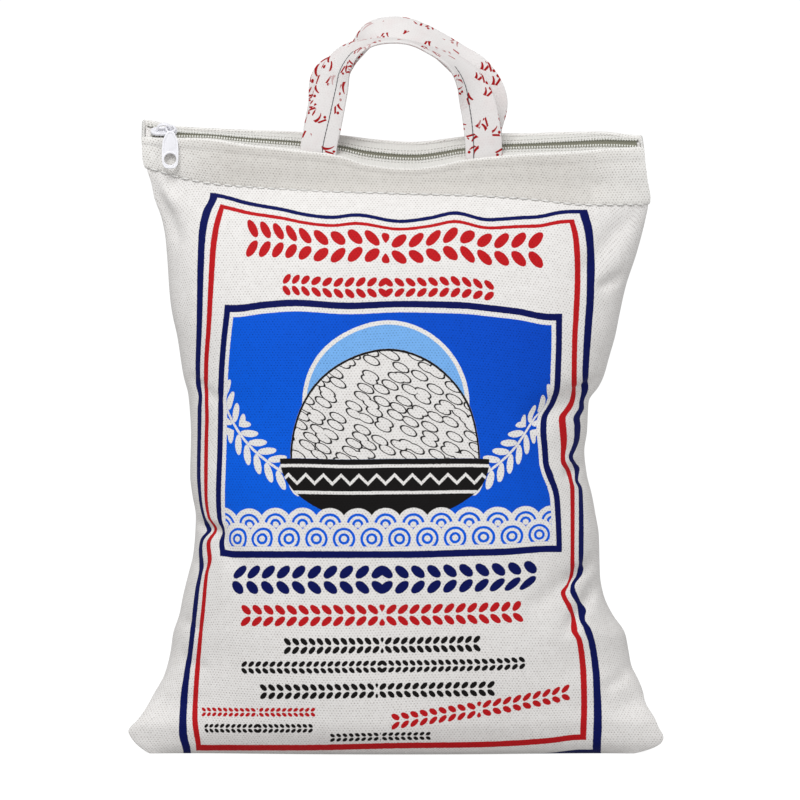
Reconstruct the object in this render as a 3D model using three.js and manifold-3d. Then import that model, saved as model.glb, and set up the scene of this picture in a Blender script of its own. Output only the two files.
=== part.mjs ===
// A five kilogram bag of rice in white embossed cloth. The filled bag stands on its flattened base, and
// above it are the folded hem round the opening, the closed zip with slider and pull, and two handles.
// Millimetres, X to the right, -Y towards the printed front, +Z up, origin under the middle of the base.
import * as THREE from 'three';
import { mergeVertices } from 'three/addons/utils/BufferGeometryUtils.js';
import Module from 'manifold-3d';

// Outline of the standing bag, as pairs of height and half width
const leftEdge = [
  [0, 137], [5, 145], [12, 150.5], [19, 146], [30, 137.5], [55, 128], [90, 120], [125, 115],
  [170, 116], [210, 119.5], [260, 127.5], [300, 132], [322, 138.5], [335, 143], [357, 144]
];
const rightEdge = [
  [0, 137], [4, 145], [9.5, 150.5], [19, 145], [30, 139], [55, 131], [80, 121.5], [105, 114],
  [140, 113], [170, 108], [205, 113], [225, 121], [255, 126.5], [290, 136.5], [313, 142.5], [348, 139.5]
];

// Half thickness of the filled bag at its middle, as pairs of height and depth
const frontDepth = [
  [0, 44], [5, 50], [20, 55], [60, 58], [120, 58], [180, 55], [230, 51], [270, 44], [300, 32],
  [312, 23], [322, 16.5], [357, 14]
];
const backDepth = [
  [0, 44], [5, 50], [20, 55], [60, 58], [120, 57], [180, 54], [230, 49], [270, 42], [300, 31],
  [312, 23], [322, 16.5], [357, 14]
];

// Form of a level section: depth = middle depth * (1 - across ^ power) ^ pinch, as height and value
const sectionPower = [[0, 2.5], [13, 2.6], [90, 2.9], [220, 2.9], [290, 2.3], [325, 2], [357, 2]];
const sectionPinch = [
  [0, 0.8], [13, 0.85], [45, 0.6], [90, 0.46], [230, 0.46], [290, 0.62], [325, 0.8], [357, 0.8]
];

// Half thickness of the side seam and of the ends of the hem, as height and value
const seamHalf = [[0, 1.2], [290, 1.5], [318, 3.5], [330, 5.2], [358, 5.2]];

// Folds that draw the side walls in: side, height at the wall, depth, half height, rise, and reach inwards
const sideFolds = [
  { side: -1, height: 122, depth: 6, half: 7, rise: -22, reach: 0.34 },
  { side: -1, height: 104, depth: 3, half: 6, rise: 14, reach: 0.3 },
  { side: -1, height: 205, depth: 2.5, half: 10, rise: -16, reach: 0.3 },
  { side: 1, height: 199, depth: 6, half: 8, rise: 18, reach: 0.34 },
  { side: 1, height: 160, depth: 5, half: 6, rise: -10, reach: 0.3 },
  { side: 1, height: 103, depth: 7, half: 9, rise: -30, reach: 0.42 },
  { side: 1, height: 76, depth: 3, half: 6, rise: -8, reach: 0.28 }
];

// Lines round the mouth, as pairs of place across (-1 left to 1 right) and height
const stitchFront = [
  [-1, 330], [-0.85, 326.5], [-0.62, 323], [0, 320], [0.35, 320.5], [0.63, 317], [0.87, 313], [1, 311.5]
];
const stitchBack = [[-1, 330], [-0.6, 325], [0, 322], [0.6, 318], [1, 311.5]];
const lipFront = [
  [-1, 350], [-0.72, 347.5], [-0.3, 341], [-0.05, 334], [0.12, 332], [0.3, 336.5], [0.68, 341], [1, 344]
];
const lipBack = [[-1, 358], [-0.7, 352.5], [-0.3, 349.5], [0.08, 345.5], [0.4, 348], [1, 347.5]];

const hem = { wall: 2, proud: 0.5, lipRound: 0.7, recess: 1.6 };
const tape = { thick: 1, chainHalf: 2.9, chainHigh: 1.7, from: -0.965, to: 0.975 };
const slider = {
  at: -131.6, forward: 1.4, length: 15, width: 9, plate: 1.5, tilt: 29,
  archHigh: 4.8, archWide: 2.6, archBar: 1.5, archLeg: 1.6, legAt: 3.9
};
const pull = {
  length: 21, topWide: 8.4, endWide: 10, thick: 1.6, holeRadius: 3.3, hang: 11,
  ring: 1.4, eyeWide: 3.6, eyeLong: 4.8, reach: 2.8, aboveSlider: 0.6
};
const handle = { wide: 21, thick: 2.2, steps: 44, footRoom: 1.5, slotRoom: 1.2, slotDeep: 40 };
const gap = 0.3;
const facets = { across: 28, curve: 8, round: 14 };

// Middle lines of the two handles: x, y, z and the twist of the band in degrees
const frontHandlePath = [
  [-43.5, -9.9, 327, 0], [-43, -9.9, 341, 0], [-40.5, -10, 357, 0], [-38, -10.2, 371, 3],
  [-35, -10.6, 386.5, 20], [-26.5, -11, 397.5, 56], [-11, -11.2, 401.5, 80], [6, -11.2, 401, 84],
  [21, -11, 396, 78], [35.5, -10.6, 389.5, 52], [43.5, -10.3, 377, 16], [46.2, -10, 362, 0],
  [48.5, -9.9, 347, 0], [49.6, -9.9, 336, 0], [50, -9.9, 323, 0]
];
const backHandlePath = [
  [-43, 10.1, 336, 0], [-43, 10.1, 350, 0], [-42, 10.3, 367, 0], [-39.5, 10.6, 383, 8],
  [-30.5, 10.8, 397.5, 32], [-14, 11, 405.5, 48], [3, 11, 408, 52], [19, 11, 403.5, 50],
  [34, 10.8, 395.5, 34], [46, 10.6, 382.5, 10], [50.5, 10.4, 367, 0], [49.5, 10.1, 352, 0],
  [49.5, 10.1, 335, 0]
];

// A smooth line through a short list of pairs, read at any place
function along(pairs, place) {
  const last = pairs.length - 1;
  if (place <= pairs[0][0]) return pairs[0][1];
  if (place >= pairs[last][0]) return pairs[last][1];
  let k = 0;
  while (pairs[k + 1][0] < place) k++;
  const slope = (i) => {
    if (i === 0 || i === last) return 0;
    const before = (pairs[i][1] - pairs[i - 1][1]) / (pairs[i][0] - pairs[i - 1][0]);
    const after = (pairs[i + 1][1] - pairs[i][1]) / (pairs[i + 1][0] - pairs[i][0]);
    return before * after <= 0 ? 0 : (2 * before * after) / (before + after);
  };
  const span = pairs[k + 1][0] - pairs[k][0];
  const t = (place - pairs[k][0]) / span;
  const keep = (1 + 2 * t) * (1 - t) * (1 - t);
  const pullIn = t * (1 - t) * (1 - t) * span;
  const pullOut = -t * t * (1 - t) * span;
  return keep * pairs[k][1] + (1 - keep) * pairs[k + 1][1] + pullIn * slope(k) + pullOut * slope(k + 1);
}

// How far the folds of a side draw the wall in, at a place across and a height
function foldDraw(across, height) {
  const inwards = 1 - Math.abs(across);
  return sideFolds
    .filter((fold) => fold.side === Math.sign(across))
    .reduce((sum, fold) => {
      const lift = (height - fold.height - fold.rise * inwards) / fold.half;
      const fade = Math.max(0, 1 - inwards / fold.reach);
      return sum + fold.depth * Math.exp(-lift * lift) * fade * fade * (3 - 2 * fade);
    }, 0);
}

// The cloth surface at a place across (-1 to 1), on the front (-1) or the back (1), at a height
function clothPoint(across, face, height, inset = 0) {
  const halfWide = along(across < 0 ? leftEdge : rightEdge, height) - inset;
  const depth = along(face < 0 ? frontDepth : backDepth, height);
  const seam = along(seamHalf, height);
  const flatness = Math.pow(Math.abs(across), along(sectionPower, height));
  const lens = Math.pow(1 - flatness, along(sectionPinch, height));
  const shrink = 1 - foldDraw(across, height) / halfWide;
  const y = face * (seam + (depth - seam) * lens - inset);
  return new THREE.Vector3(across * halfWide * shrink, y * shrink, height);
}

// Places across, closer together towards the two side walls
const places = Array.from({ length: facets.across + 1 }, (_, i) =>
  Math.sin(((2 * i) / facets.across - 1) * (Math.PI / 2)));
const zipPlaces = places.filter((a) => a > tape.from && a < tape.to);

// A ring round the bag, front from left to right and back from right to left, at heights given by a rule
function ring(heightAt, inset = 0) {
  const front = places.map((a) => clothPoint(a, -1, heightAt(a, -1), inset));
  const back = places.map((a) => clothPoint(a, 1, heightAt(a, 1), inset)).reverse();
  return [...front, ...back];
}

function geometryOf(triangles) {
  const numbers = triangles.flatMap((p) => [p.x, p.y, p.z]);
  const geometry = new THREE.BufferGeometry();
  geometry.setAttribute('position', new THREE.Float32BufferAttribute(numbers, 3));
  return geometry;
}

function quad(triangles, a, b, c, d) {
  triangles.push(a, b, c, a, c, d);
}

// Walls between rings that lie one over the other, with flat strips from front to back over the open ends
function loft(rings, closedLoop = false) {
  const triangles = [];
  const count = rings[0].length;
  const walls = closedLoop ? rings.length : rings.length - 1;
  for (let k = 0; k < walls; k++) {
    const low = rings[k];
    const high = rings[(k + 1) % rings.length];
    for (let j = 0; j < count; j++) {
      const next = (j + 1) % count;
      quad(triangles, low[j], low[next], high[next], high[j]);
    }
  }
  if (!closedLoop) {
    const half = count / 2;
    const first = rings[0];
    const top = rings[rings.length - 1];
    for (let j = 0; j < half - 1; j++) {
      const across = count - 1 - j;
      quad(triangles, first[j], first[across], first[across - 1], first[j + 1]);
      quad(triangles, top[j], top[j + 1], top[across - 1], top[across]);
    }
  }
  return geometryOf(triangles);
}

// A band with a section of a few points carried along a list of frames, closed at both ends
function sweep(sections) {
  const triangles = [];
  const count = sections[0].length;
  for (let k = 0; k < sections.length - 1; k++) {
    for (let j = 0; j < count; j++) {
      const next = (j + 1) % count;
      quad(triangles, sections[k][j], sections[k][next], sections[k + 1][next], sections[k + 1][j]);
    }
  }
  for (const [section, turned] of [[sections[0], true], [sections[sections.length - 1], false]]) {
    for (let j = 1; j < count - 1; j++) {
      if (turned) triangles.push(section[0], section[j + 1], section[j]);
      else triangles.push(section[0], section[j], section[j + 1]);
    }
  }
  return geometryOf(triangles);
}

const wasm = await Module();
wasm.setup();

function solidOf(geometry) {
  const bare = geometry.index ? geometry.toNonIndexed() : geometry.clone();
  for (const name of ['normal', 'uv']) bare.deleteAttribute(name);
  const merged = mergeVertices(bare, 1e-4);
  const mesh = new wasm.Mesh({
    numProp: 3,
    vertProperties: new Float32Array(merged.attributes.position.array),
    triVerts: new Uint32Array(merged.index.array)
  });
  return new wasm.Manifold(mesh);
}

function geometryFrom(solid) {
  const mesh = solid.getMesh();
  const geometry = new THREE.BufferGeometry();
  geometry.setAttribute('position', new THREE.Float32BufferAttribute(mesh.vertProperties, 3));
  geometry.setIndex(new THREE.Uint32BufferAttribute(mesh.triVerts, 1));
  return geometry;
}

function cutFrom(geometry, ...tools) {
  return geometryFrom(tools.reduce((solid, tool) => solid.subtract(solidOf(tool)), solidOf(geometry)));
}

function joined(...geometries) {
  const [first, ...rest] = geometries.map(solidOf);
  return geometryFrom(rest.reduce((solid, other) => solid.add(other), first));
}

const stitchAt = (a, face) => along(face < 0 ? stitchFront : stitchBack, a);
const lipAt = (a, face) => along(face < 0 ? lipFront : lipBack, a);

// A point of the slanted plane of the mouth, at a distance in front of or behind the zip's middle
function mouthPoint(a, y, lift = 0) {
  const front = clothPoint(a, -1, lipAt(a, -1), hem.wall - hem.proud);
  const back = clothPoint(a, 1, lipAt(a, 1), hem.wall - hem.proud);
  const share = (y - front.y) / (back.y - front.y);
  const point = front.clone().lerp(back, share);
  return point.setZ(point.z - hem.recess + lift);
}

// Where the tape meets the inner face of the hem, in front or behind
const tapeEdge = (a, face) => clothPoint(a, face, lipAt(a, face), hem.wall - hem.proud + gap).y;

// A ring part of the way from the foot of the hem (0) to its lip (1)
const hemShares = [0.25, 0.5, 0.75];
function hemRing(share, inset) {
  return ring((a, face) => {
    const low = stitchAt(a, face) + gap;
    return low + (lipAt(a, face) - low) * share;
  }, inset);
}

// The filled bag: level rings that take up the stitch line as they rise, then a neck inside the hem
const levelSteps = [[0, 2.4], [12, 3.5], [22, 7.5], [62, 7.2], [120, 6.4], [200, 8], [240, 11], [321, 7]];
const levelTop = 321;
function bagBody() {
  const levels = [0];
  while (levels[levels.length - 1] < levelTop) {
    const last = levels[levels.length - 1];
    levels.push(last + along(levelSteps, last));
  }
  levels[levels.length - 1] = levelTop;
  const rise = (height) => Math.pow(height / levelTop, 3);
  const rings = levels.map((height) =>
    ring((a, face) => height + (stitchAt(a, face) - levelTop) * rise(height)));
  const neckInset = hem.wall + gap - hem.proud;
  rings.push(ring(stitchAt, neckInset));
  for (const share of hemShares) rings.push(hemRing(share, neckInset));
  const neckPlaces = places.map((a) => a * (1 - (2 * gap) / leftEdge[leftEdge.length - 1][1]));
  const top = (face) => neckPlaces.map((a) => mouthPoint(a, tapeEdge(a, face), -tape.thick - 2 * gap));
  rings.push([...top(-1), ...top(1).reverse()]);
  return cutFrom(loft(rings), ...handlePockets());
}

// The folded hem: a band right round the mouth with a rounded lip
function topHem() {
  const outside = [0, ...hemShares, 0.95].map((share) => hemRing(share, -hem.proud));
  const lip = hemRing(1, hem.lipRound - hem.proud);
  const inside = [0.97, ...[...hemShares].reverse(), 0].map((share) => hemRing(share, hem.wall - hem.proud));
  return loft([...outside, lip, ...inside], true);
}

// One half of the zip tape, from the inner face of the hem to the chain
function zipTape(face) {
  const sections = zipPlaces.map((a) => {
    const wall = tapeEdge(a, face);
    const chain = face * (tape.chainHalf + gap);
    const under = [mouthPoint(a, wall, -tape.thick), mouthPoint(a, chain, -tape.thick)];
    const corners = [...under, mouthPoint(a, chain), mouthPoint(a, wall)];
    return face < 0 ? corners : corners.reverse();
  });
  return cutFrom(sweep(sections), ...handlePockets());
}

// The closed chain of the zip, a low ridge between the tapes
function zipChain() {
  const wide = tape.chainHalf;
  const low = -tape.thick;
  const high = tape.chainHigh - tape.thick;
  const outline = [[-wide, low], [wide, low], [wide, 0], [wide * 0.6, high], [-wide * 0.6, high], [-wide, 0]];
  const sections = zipPlaces.map((a) => outline.map(([y, lift]) => mouthPoint(a, y, lift)));
  return sweep(sections);
}

// Slots in the neck and the tape, into which the ends of the handles are sewn
function handlePockets() {
  return [frontHandlePath, backHandlePath].flatMap((path) =>
    [path[0], path[path.length - 1]].map(([x, y, z]) => {
      const wide = handle.wide + 2 * handle.slotRoom;
      const slot = new THREE.BoxGeometry(wide, handle.thick + 2 * gap, handle.slotDeep);
      return slot.translate(x, y, z - handle.footRoom + handle.slotDeep / 2);
    }));
}

// One handle: a flat folded band that stands up from the mouth and turns over at the top of its arch
function handleBand(path) {
  const points = path.map(([x, y, z]) => new THREE.Vector3(x, y, z));
  const middle = new THREE.CatmullRomCurve3(points, false, 'centripetal');
  const twists = path.map(([, , , twist], i) => [i / (path.length - 1), twist]);
  const quarter = [[1, 0.6], [0.95, 1]];
  const upper = [...quarter, ...quarter.map(([u, v]) => [-u, v]).reverse()];
  const corners = [...upper, ...upper.map(([u, v]) => [-u, -v])];
  const backwards = new THREE.Vector3(0, 1, 0);
  const sections = [];
  for (let k = 0; k <= handle.steps; k++) {
    const share = k / handle.steps;
    const centre = middle.getPoint(share);
    const tangent = middle.getTangent(share);
    tangent.y = 0;
    tangent.normalize();
    const outwards = new THREE.Vector3(-tangent.z, 0, tangent.x);
    const twist = THREE.MathUtils.degToRad(along(twists, share));
    const wide = outwards.multiplyScalar(Math.cos(twist)).addScaledVector(backwards, Math.sin(twist));
    const through = new THREE.Vector3().crossVectors(tangent, wide);
    sections.push(corners.map(([u, v]) => centre.clone()
      .addScaledVector(wide, (u * handle.wide) / 2)
      .addScaledVector(through, (v * handle.thick) / 2)));
  }
  return sweep(sections);
}

function flat(outline, depth, curveSegments) {
  return new THREE.ExtrudeGeometry(outline, { depth, bevelEnabled: false, curveSegments });
}

// The slider: a waisted plate over the chain, with an arch along it; the plate's underside is at zero
function zipSlider() {
  const halfLong = slider.length / 2;
  const halfWide = slider.width / 2;
  const outline = new THREE.Shape();
  outline.moveTo(-halfLong, 0);
  outline.quadraticCurveTo(-halfLong, -halfWide, -halfLong * 0.45, -halfWide);
  outline.lineTo(halfLong * 0.7, -halfWide * 0.92);
  outline.quadraticCurveTo(halfLong, -halfWide * 0.9, halfLong, 0);
  outline.quadraticCurveTo(halfLong, halfWide * 0.9, halfLong * 0.7, halfWide * 0.92);
  outline.lineTo(-halfLong * 0.45, halfWide);
  outline.quadraticCurveTo(-halfLong, halfWide, -halfLong, 0);
  const plate = flat(outline, slider.plate, facets.curve);

  const outer = slider.legAt + slider.archLeg / 2;
  const inner = outer - slider.archLeg;
  const under = slider.archHigh - slider.archBar;
  const side = new THREE.Shape();
  side.moveTo(-outer, 0);
  side.lineTo(outer, 0);
  side.quadraticCurveTo(outer, slider.archHigh, outer * 0.3, slider.archHigh);
  side.lineTo(-outer * 0.3, slider.archHigh);
  side.quadraticCurveTo(-outer, slider.archHigh, -outer, 0);
  const opening = new THREE.Path();
  opening.moveTo(-inner, gap);
  opening.quadraticCurveTo(-inner, under, 0, under);
  opening.quadraticCurveTo(inner, under, inner, gap);
  opening.closePath();
  side.holes.push(opening);
  const arch = flat(side, slider.archWide, facets.curve);
  arch.rotateX(Math.PI / 2).translate(0, slider.archWide / 2, slider.plate - gap);
  return joined(plate, arch);
}

// The pull: a neck with an eye round one leg of the slider's arch, and a tab that hangs over the lip
function zipPull() {
  const eyeHalf = pull.eyeWide / 2;
  const ringHalf = eyeHalf + pull.ring;
  const back = slider.archWide / 2 + 0.5 * pull.thick;
  const bend = -slider.width / 2 - pull.reach;
  const neckOutline = new THREE.Shape();
  neckOutline.moveTo(-ringHalf, back);
  neckOutline.lineTo(-ringHalf, bend);
  neckOutline.lineTo(ringHalf, bend);
  neckOutline.lineTo(ringHalf, back);
  neckOutline.quadraticCurveTo(ringHalf, back + pull.ring, 0, back + pull.ring);
  neckOutline.quadraticCurveTo(-ringHalf, back + pull.ring, -ringHalf, back);
  const eye = new THREE.Path();
  eye.moveTo(-eyeHalf, back);
  eye.lineTo(eyeHalf, back);
  eye.lineTo(eyeHalf, back - pull.eyeLong);
  eye.lineTo(-eyeHalf, back - pull.eyeLong);
  eye.closePath();
  neckOutline.holes.push(eye);
  const neck = flat(neckOutline, pull.thick, facets.curve);

  const topHalf = pull.topWide / 2;
  const endHalf = pull.endWide / 2;
  const bottom = -pull.length + endHalf;
  const shoulder = -pull.thick;
  const outline = new THREE.Shape();
  outline.moveTo(-topHalf, shoulder);
  outline.lineTo(-endHalf, bottom);
  outline.absarc(0, bottom, endHalf, Math.PI, 2 * Math.PI, false);
  outline.lineTo(topHalf, shoulder);
  outline.quadraticCurveTo(topHalf, 2 * gap, 0, 2 * gap);
  outline.quadraticCurveTo(-topHalf, 2 * gap, -topHalf, shoulder);
  const finger = new THREE.Path();
  finger.absarc(0, bottom + gap, pull.holeRadius, 0, 2 * Math.PI, true);
  outline.holes.push(finger);
  const tab = flat(outline, pull.thick, facets.round);
  const fromPlate = THREE.MathUtils.degToRad(90 - slider.tilt - pull.hang);
  tab.translate(0, 0, -pull.thick / 2).rotateX(fromPlate).translate(0, bend, pull.thick / 2);
  return joined(neck, tab);
}

const cloth = { roughness: 0.85, metalness: 0 };
const plastic = { roughness: 0.35, metalness: 0 };
const group = new THREE.Group();

function add(name, geometry, colour, finish) {
  const mesh = new THREE.Mesh(geometry, new THREE.MeshStandardMaterial({ color: colour, ...finish }));
  mesh.name = name;
  group.add(mesh);
  return mesh;
}

add('bag_body', bagBody(), 0xe6e3df, cloth);
add('top_hem', topHem(), 0xdedad4, cloth);
add('zip_tape_front', zipTape(-1), 0xe9e8e4, cloth);
add('zip_tape_back', zipTape(1), 0xe9e8e4, cloth);
add('zip_chain', zipChain(), 0xb5b4a6, plastic);
add('handle_front', handleBand(frontHandlePath), 0xe7e2e0, cloth);
add('handle_back', handleBand(backHandlePath), 0xe7e2e0, cloth);

const sliderMesh = add('zip_slider', zipSlider(), 0xe9e8ef, plastic);
const pullMesh = add('zip_pull', zipPull(), 0xeceaf0, plastic);
const zipEnd = new THREE.Group();
const sliderRoom = tape.chainHigh - tape.thick + 3 * gap;
const sliderSeat = mouthPoint(slider.at / leftEdge[leftEdge.length - 1][1], -slider.forward, sliderRoom);
zipEnd.position.set(slider.at, sliderSeat.y, sliderSeat.z);
zipEnd.rotation.x = THREE.MathUtils.degToRad(slider.tilt);
pullMesh.position.set(slider.legAt, 0, slider.plate + pull.aboveSlider);
zipEnd.add(sliderMesh, pullMesh);
group.add(zipEnd);

export default group;
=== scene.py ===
import math
import random

import bpy
import numpy as np
from mathutils import Matrix, Vector


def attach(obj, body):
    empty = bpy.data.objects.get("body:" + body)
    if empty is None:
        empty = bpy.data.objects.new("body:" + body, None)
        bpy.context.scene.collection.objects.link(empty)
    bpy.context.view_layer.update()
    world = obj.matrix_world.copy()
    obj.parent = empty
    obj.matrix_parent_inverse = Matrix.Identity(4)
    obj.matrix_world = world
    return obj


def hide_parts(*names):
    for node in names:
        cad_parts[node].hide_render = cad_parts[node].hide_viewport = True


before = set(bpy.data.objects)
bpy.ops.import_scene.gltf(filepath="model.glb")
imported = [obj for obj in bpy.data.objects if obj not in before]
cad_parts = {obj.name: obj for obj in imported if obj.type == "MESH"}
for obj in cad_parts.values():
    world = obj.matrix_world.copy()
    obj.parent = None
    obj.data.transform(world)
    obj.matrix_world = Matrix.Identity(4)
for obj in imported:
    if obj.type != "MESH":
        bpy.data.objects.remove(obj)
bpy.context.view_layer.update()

# a filled cloth rice bag: two printed panels, a folded hem, a zip with slider and pull, two handles
# lengths are in millimetres until a mesh is written; x runs along the zip, -y is the front, z is up
mm = 0.001

view = {
    "aimX": 2.0,
    "aimZ": 198.4,
    "distance": 3000.0,
    "elevation": 1.5,
    "lens": 238.0,
    "keyPower": 22.0,
    "fillPower": 6.5,
    "worldLight": 0.53,  # how strongly the world lights the bag
    "worldSeen": 1.05,  # and how bright the camera sees it
    "floorLight": 0.28,
    "floorSeen": 0.88,
    "floorHalf": 14.0,
    "measureLens": 240.0,  # the lines of the print are measured through this lens
    "measureHigh": 200.8,  # and with this height in the middle of the picture
}

bag = {
    "columns": 110,
    "underRows": 6,
    "mainRows": 150,
    "neckShares": [0.25, 0.5, 0.8],
    "topRows": 3,
    "stitchLevel": 321.0,
    "neckInset": 1.8,
    "mouthDrop": 0.6,
    "mouthReach": 0.999,
    "colour": (234, 232, 230),
}

# outline of the standing bag, as pairs of height and half width
leftEdge = [
    (0, 139), (1.6, 142), (6.8, 148), (12.8, 151.2), (18.5, 146.2), (24, 142), (33, 137), (43, 131.5),
    (55, 128.4), (66, 126.8), (77, 123.2), (88, 121), (100, 118), (111, 115.3), (122, 114.2),
    (133, 113.8), (145, 115.8), (156, 117), (178, 116.5), (201, 117.9), (212, 120.7), (235, 124.3),
    (247, 127), (257, 128.4), (280, 130), (291, 131), (302, 133.2), (313, 137.2), (322, 139), (335, 143),
    (357, 144),
]
rightEdge = [
    (0, 134), (1.4, 140), (3.3, 145.4), (6, 149.4), (9, 150.6), (15, 147.5), (19, 146), (23.5, 143.2),
    (28, 140.6), (34, 139.4), (38, 138), (43, 135.6), (48, 133.2), (56, 131.8), (66, 129.8), (77, 122.5),
    (88, 117.5), (99, 115.5), (122, 114.8), (133, 113), (145, 110.8), (156, 108), (170, 106.5),
    (180, 108), (198, 109), (206, 114.7), (212, 117.5), (223, 120.6), (235, 124), (246, 126.2),
    (263, 130), (280, 135.6), (291, 138.7), (302, 141.3), (313, 143.2), (324, 141.3), (348, 139.5),
]

# half thickness at the middle of the front and of the back, as pairs of height and depth
frontDepth = [
    (0, 34), (2, 42), (6, 48), (20, 55), (60, 58), (120, 58), (180, 55), (230, 51), (270, 44), (300, 32),
    (312, 23), (322, 16.5), (357, 14),
]
backDepth = [
    (0, 44), (5, 50), (20, 55), (60, 58), (120, 57), (180, 54), (230, 49), (270, 42), (300, 31),
    (312, 23), (322, 16.5), (357, 14),
]
sectionPower = [(0, 2.5), (13, 2.6), (90, 2.9), (220, 2.9), (290, 2.3), (325, 2), (357, 2)]
sectionPinch = [(0, 0.8), (13, 0.85), (45, 0.6), (90, 0.46), (230, 0.46), (290, 0.62), (325, 0.8), (357, 0.8)]
seamHalf = [(0, 1.2), (290, 1.5), (318, 3.5), (330, 5.2), (358, 5.2)]

# the bottom corners are pushed forward where the bag settles on its base, as pairs of height and shift
cornerShift = [(0, 26), (16, 26), (34, 12), (60, 0), (357, 0)]
cornerPower = 5

# lines round the mouth, as pairs of place across (-1 left to 1 right) and height
stitchFront = [
    (-1, 329.3), (-0.87, 324), (-0.73, 320.4), (-0.55, 318.3), (-0.26, 316.1), (0, 314.9), (0.25, 314),
    (0.48, 312.3), (0.77, 308.6), (1, 309),
]
stitchBack = [(-1, 329.3), (-0.6, 321), (0, 317), (0.6, 313), (1, 309)]
lipFront = [
    (-1, 347.5), (-0.93, 346.9), (-0.77, 346.6), (-0.6, 343.3), (-0.38, 339.7), (-0.23, 336.8),
    (-0.12, 331.9), (0, 329.7), (0.07, 329.4), (0.16, 331), (0.27, 334.3), (0.41, 336.4), (0.49, 337.6),
    (0.68, 338.9), (1, 341.7),
]
lipBack = [
    (-1, 357.3), (-0.87, 353.9), (-0.65, 352.2), (-0.38, 350.8), (-0.23, 349), (-0.07, 346.3),
    (0.07, 345.1), (0.27, 348), (0.41, 350), (0.5, 349.8), (0.65, 350.4), (0.83, 350.8), (1, 348.6),
]


def along(pairs, place):  # a smooth line through a short list of pairs, read at many places
    xs = np.array([p[0] for p in pairs], float)
    ys = np.array([p[1] for p in pairs], float)
    chord = np.diff(ys) / np.diff(xs)
    before, after = chord[:-1], chord[1:]
    product = before * after
    safe = np.where(product > 0, before + after, 1.0)
    slopes = np.concatenate([[0], np.where(product > 0, 2 * product / safe, 0.0), [0]])
    place = np.clip(np.asarray(place, float), xs[0], xs[-1])
    k = np.clip(np.searchsorted(xs, place, side="left") - 1, 0, len(xs) - 2)
    span = xs[k + 1] - xs[k]
    t = (place - xs[k]) / span
    keep = (1 + 2 * t) * (1 - t) ** 2
    bends = t * (1 - t) ** 2 * span * slopes[k] - t ** 2 * (1 - t) * span * slopes[k + 1]
    return keep * ys[k] + (1 - keep) * ys[k + 1] + bends


def clothPoint(across, face, height, inset=0.0):  # the cloth's form: face is -1 in front, 1 behind
    across, height = np.broadcast_arrays(np.asarray(across, float), np.asarray(height, float))
    halfWide = np.where(across < 0, along(leftEdge, height), along(rightEdge, height)) - inset
    depth = along(frontDepth if face < 0 else backDepth, height)
    seam = along(seamHalf, height)
    lens = (1 - np.abs(across) ** along(sectionPower, height)) ** along(sectionPinch, height)
    shift = along(cornerShift, height) * np.abs(across) ** cornerPower
    y = face * (seam + (depth - seam) * lens - inset) - shift
    return np.stack([across * halfWide, y, height + 0 * y], axis=-1)


def stitchAt(across, face):
    return along(stitchFront if face < 0 else stitchBack, across)


def lipAt(across, face):
    return along(lipFront if face < 0 else lipBack, across)


def mouthPoint(across, y, lift=0.0):  # the slanted plane of the mouth, from its front to its back
    inset = hem["wall"] - hem["proud"]
    front = clothPoint(across, -1, lipAt(across, -1), inset)
    back = clothPoint(across, 1, lipAt(across, 1), inset)
    share = ((y - front[..., 1]) / (back[..., 1] - front[..., 1]))[..., None]
    point = front + (back - front) * share
    point[..., 2] += lift - hem["recess"]
    return point


def tapeEdge(across, face):  # where the tape meets the inner face of the hem
    inset = hem["wall"] - hem["proud"] + hem["gap"]
    return clothPoint(across, face, lipAt(across, face), inset)[..., 1]


def hemPoint(across, face, share, inset):  # from the foot of the hem (0) to its lip (1)
    low = stitchAt(across, face) + hem["gap"]
    return clothPoint(across, face, low + (lipAt(across, face) - low) * share, inset)


# mesh helpers

def deselectAll():
    if bpy.context.mode != "OBJECT":
        bpy.ops.object.mode_set(mode="OBJECT")
    bpy.ops.object.select_all(action="DESELECT")


def only(piece):
    deselectAll()
    piece.select_set(True)
    bpy.context.view_layer.objects.active = piece


def meshPoints(piece):
    points = np.empty(len(piece.data.vertices) * 3)
    piece.data.vertices.foreach_get("co", points)
    return points.reshape(-1, 3)


def setPoints(piece, points):
    piece.data.vertices.foreach_set("co", np.ascontiguousarray(points, dtype=np.float32).ravel())
    piece.data.update()


def setUv(piece, layerName, values):  # one value for each vertex, written to all its corners
    layer = piece.data.uv_layers.get(layerName) or piece.data.uv_layers.new(name=layerName)
    corners = np.empty(len(piece.data.loops), dtype=np.int64)
    piece.data.loops.foreach_get("vertex_index", corners)
    layer.data.foreach_set("uv", np.ascontiguousarray(values[corners], dtype=np.float32).ravel())


def newGrid(name, columns, rows):  # a flat grid, and its vertices sorted row by row
    deselectAll()
    bpy.ops.mesh.primitive_grid_add(x_subdivisions=columns, y_subdivisions=rows, size=1, calc_uvs=False)
    piece = bpy.context.object
    piece.name = piece.data.name = name
    flat = meshPoints(piece)
    order = np.lexsort((np.round(flat[:, 0], 5), np.round(flat[:, 1], 5)))
    return piece, order.reshape(rows + 1, columns + 1)


def putGrid(piece, order, points, **uvs):  # points and uvs come as rows by columns
    flat = np.empty((order.size, 3))
    flat[order.ravel()] = points.reshape(-1, 3) * mm
    setPoints(piece, flat)
    for name, values in uvs.items():
        sheet = np.empty((order.size, 2))
        sheet[order.ravel()] = values.reshape(-1, 2)
        setUv(piece, name, sheet)


def arcs(points, axis):  # running length over a grid of points along its rows (1) or columns (0)
    steps = np.linalg.norm(np.diff(points, axis=axis), axis=-1)
    start = np.zeros_like(np.take(steps, [0], axis=axis))
    return np.concatenate([start, np.cumsum(steps, axis=axis)], axis=axis)


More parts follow.
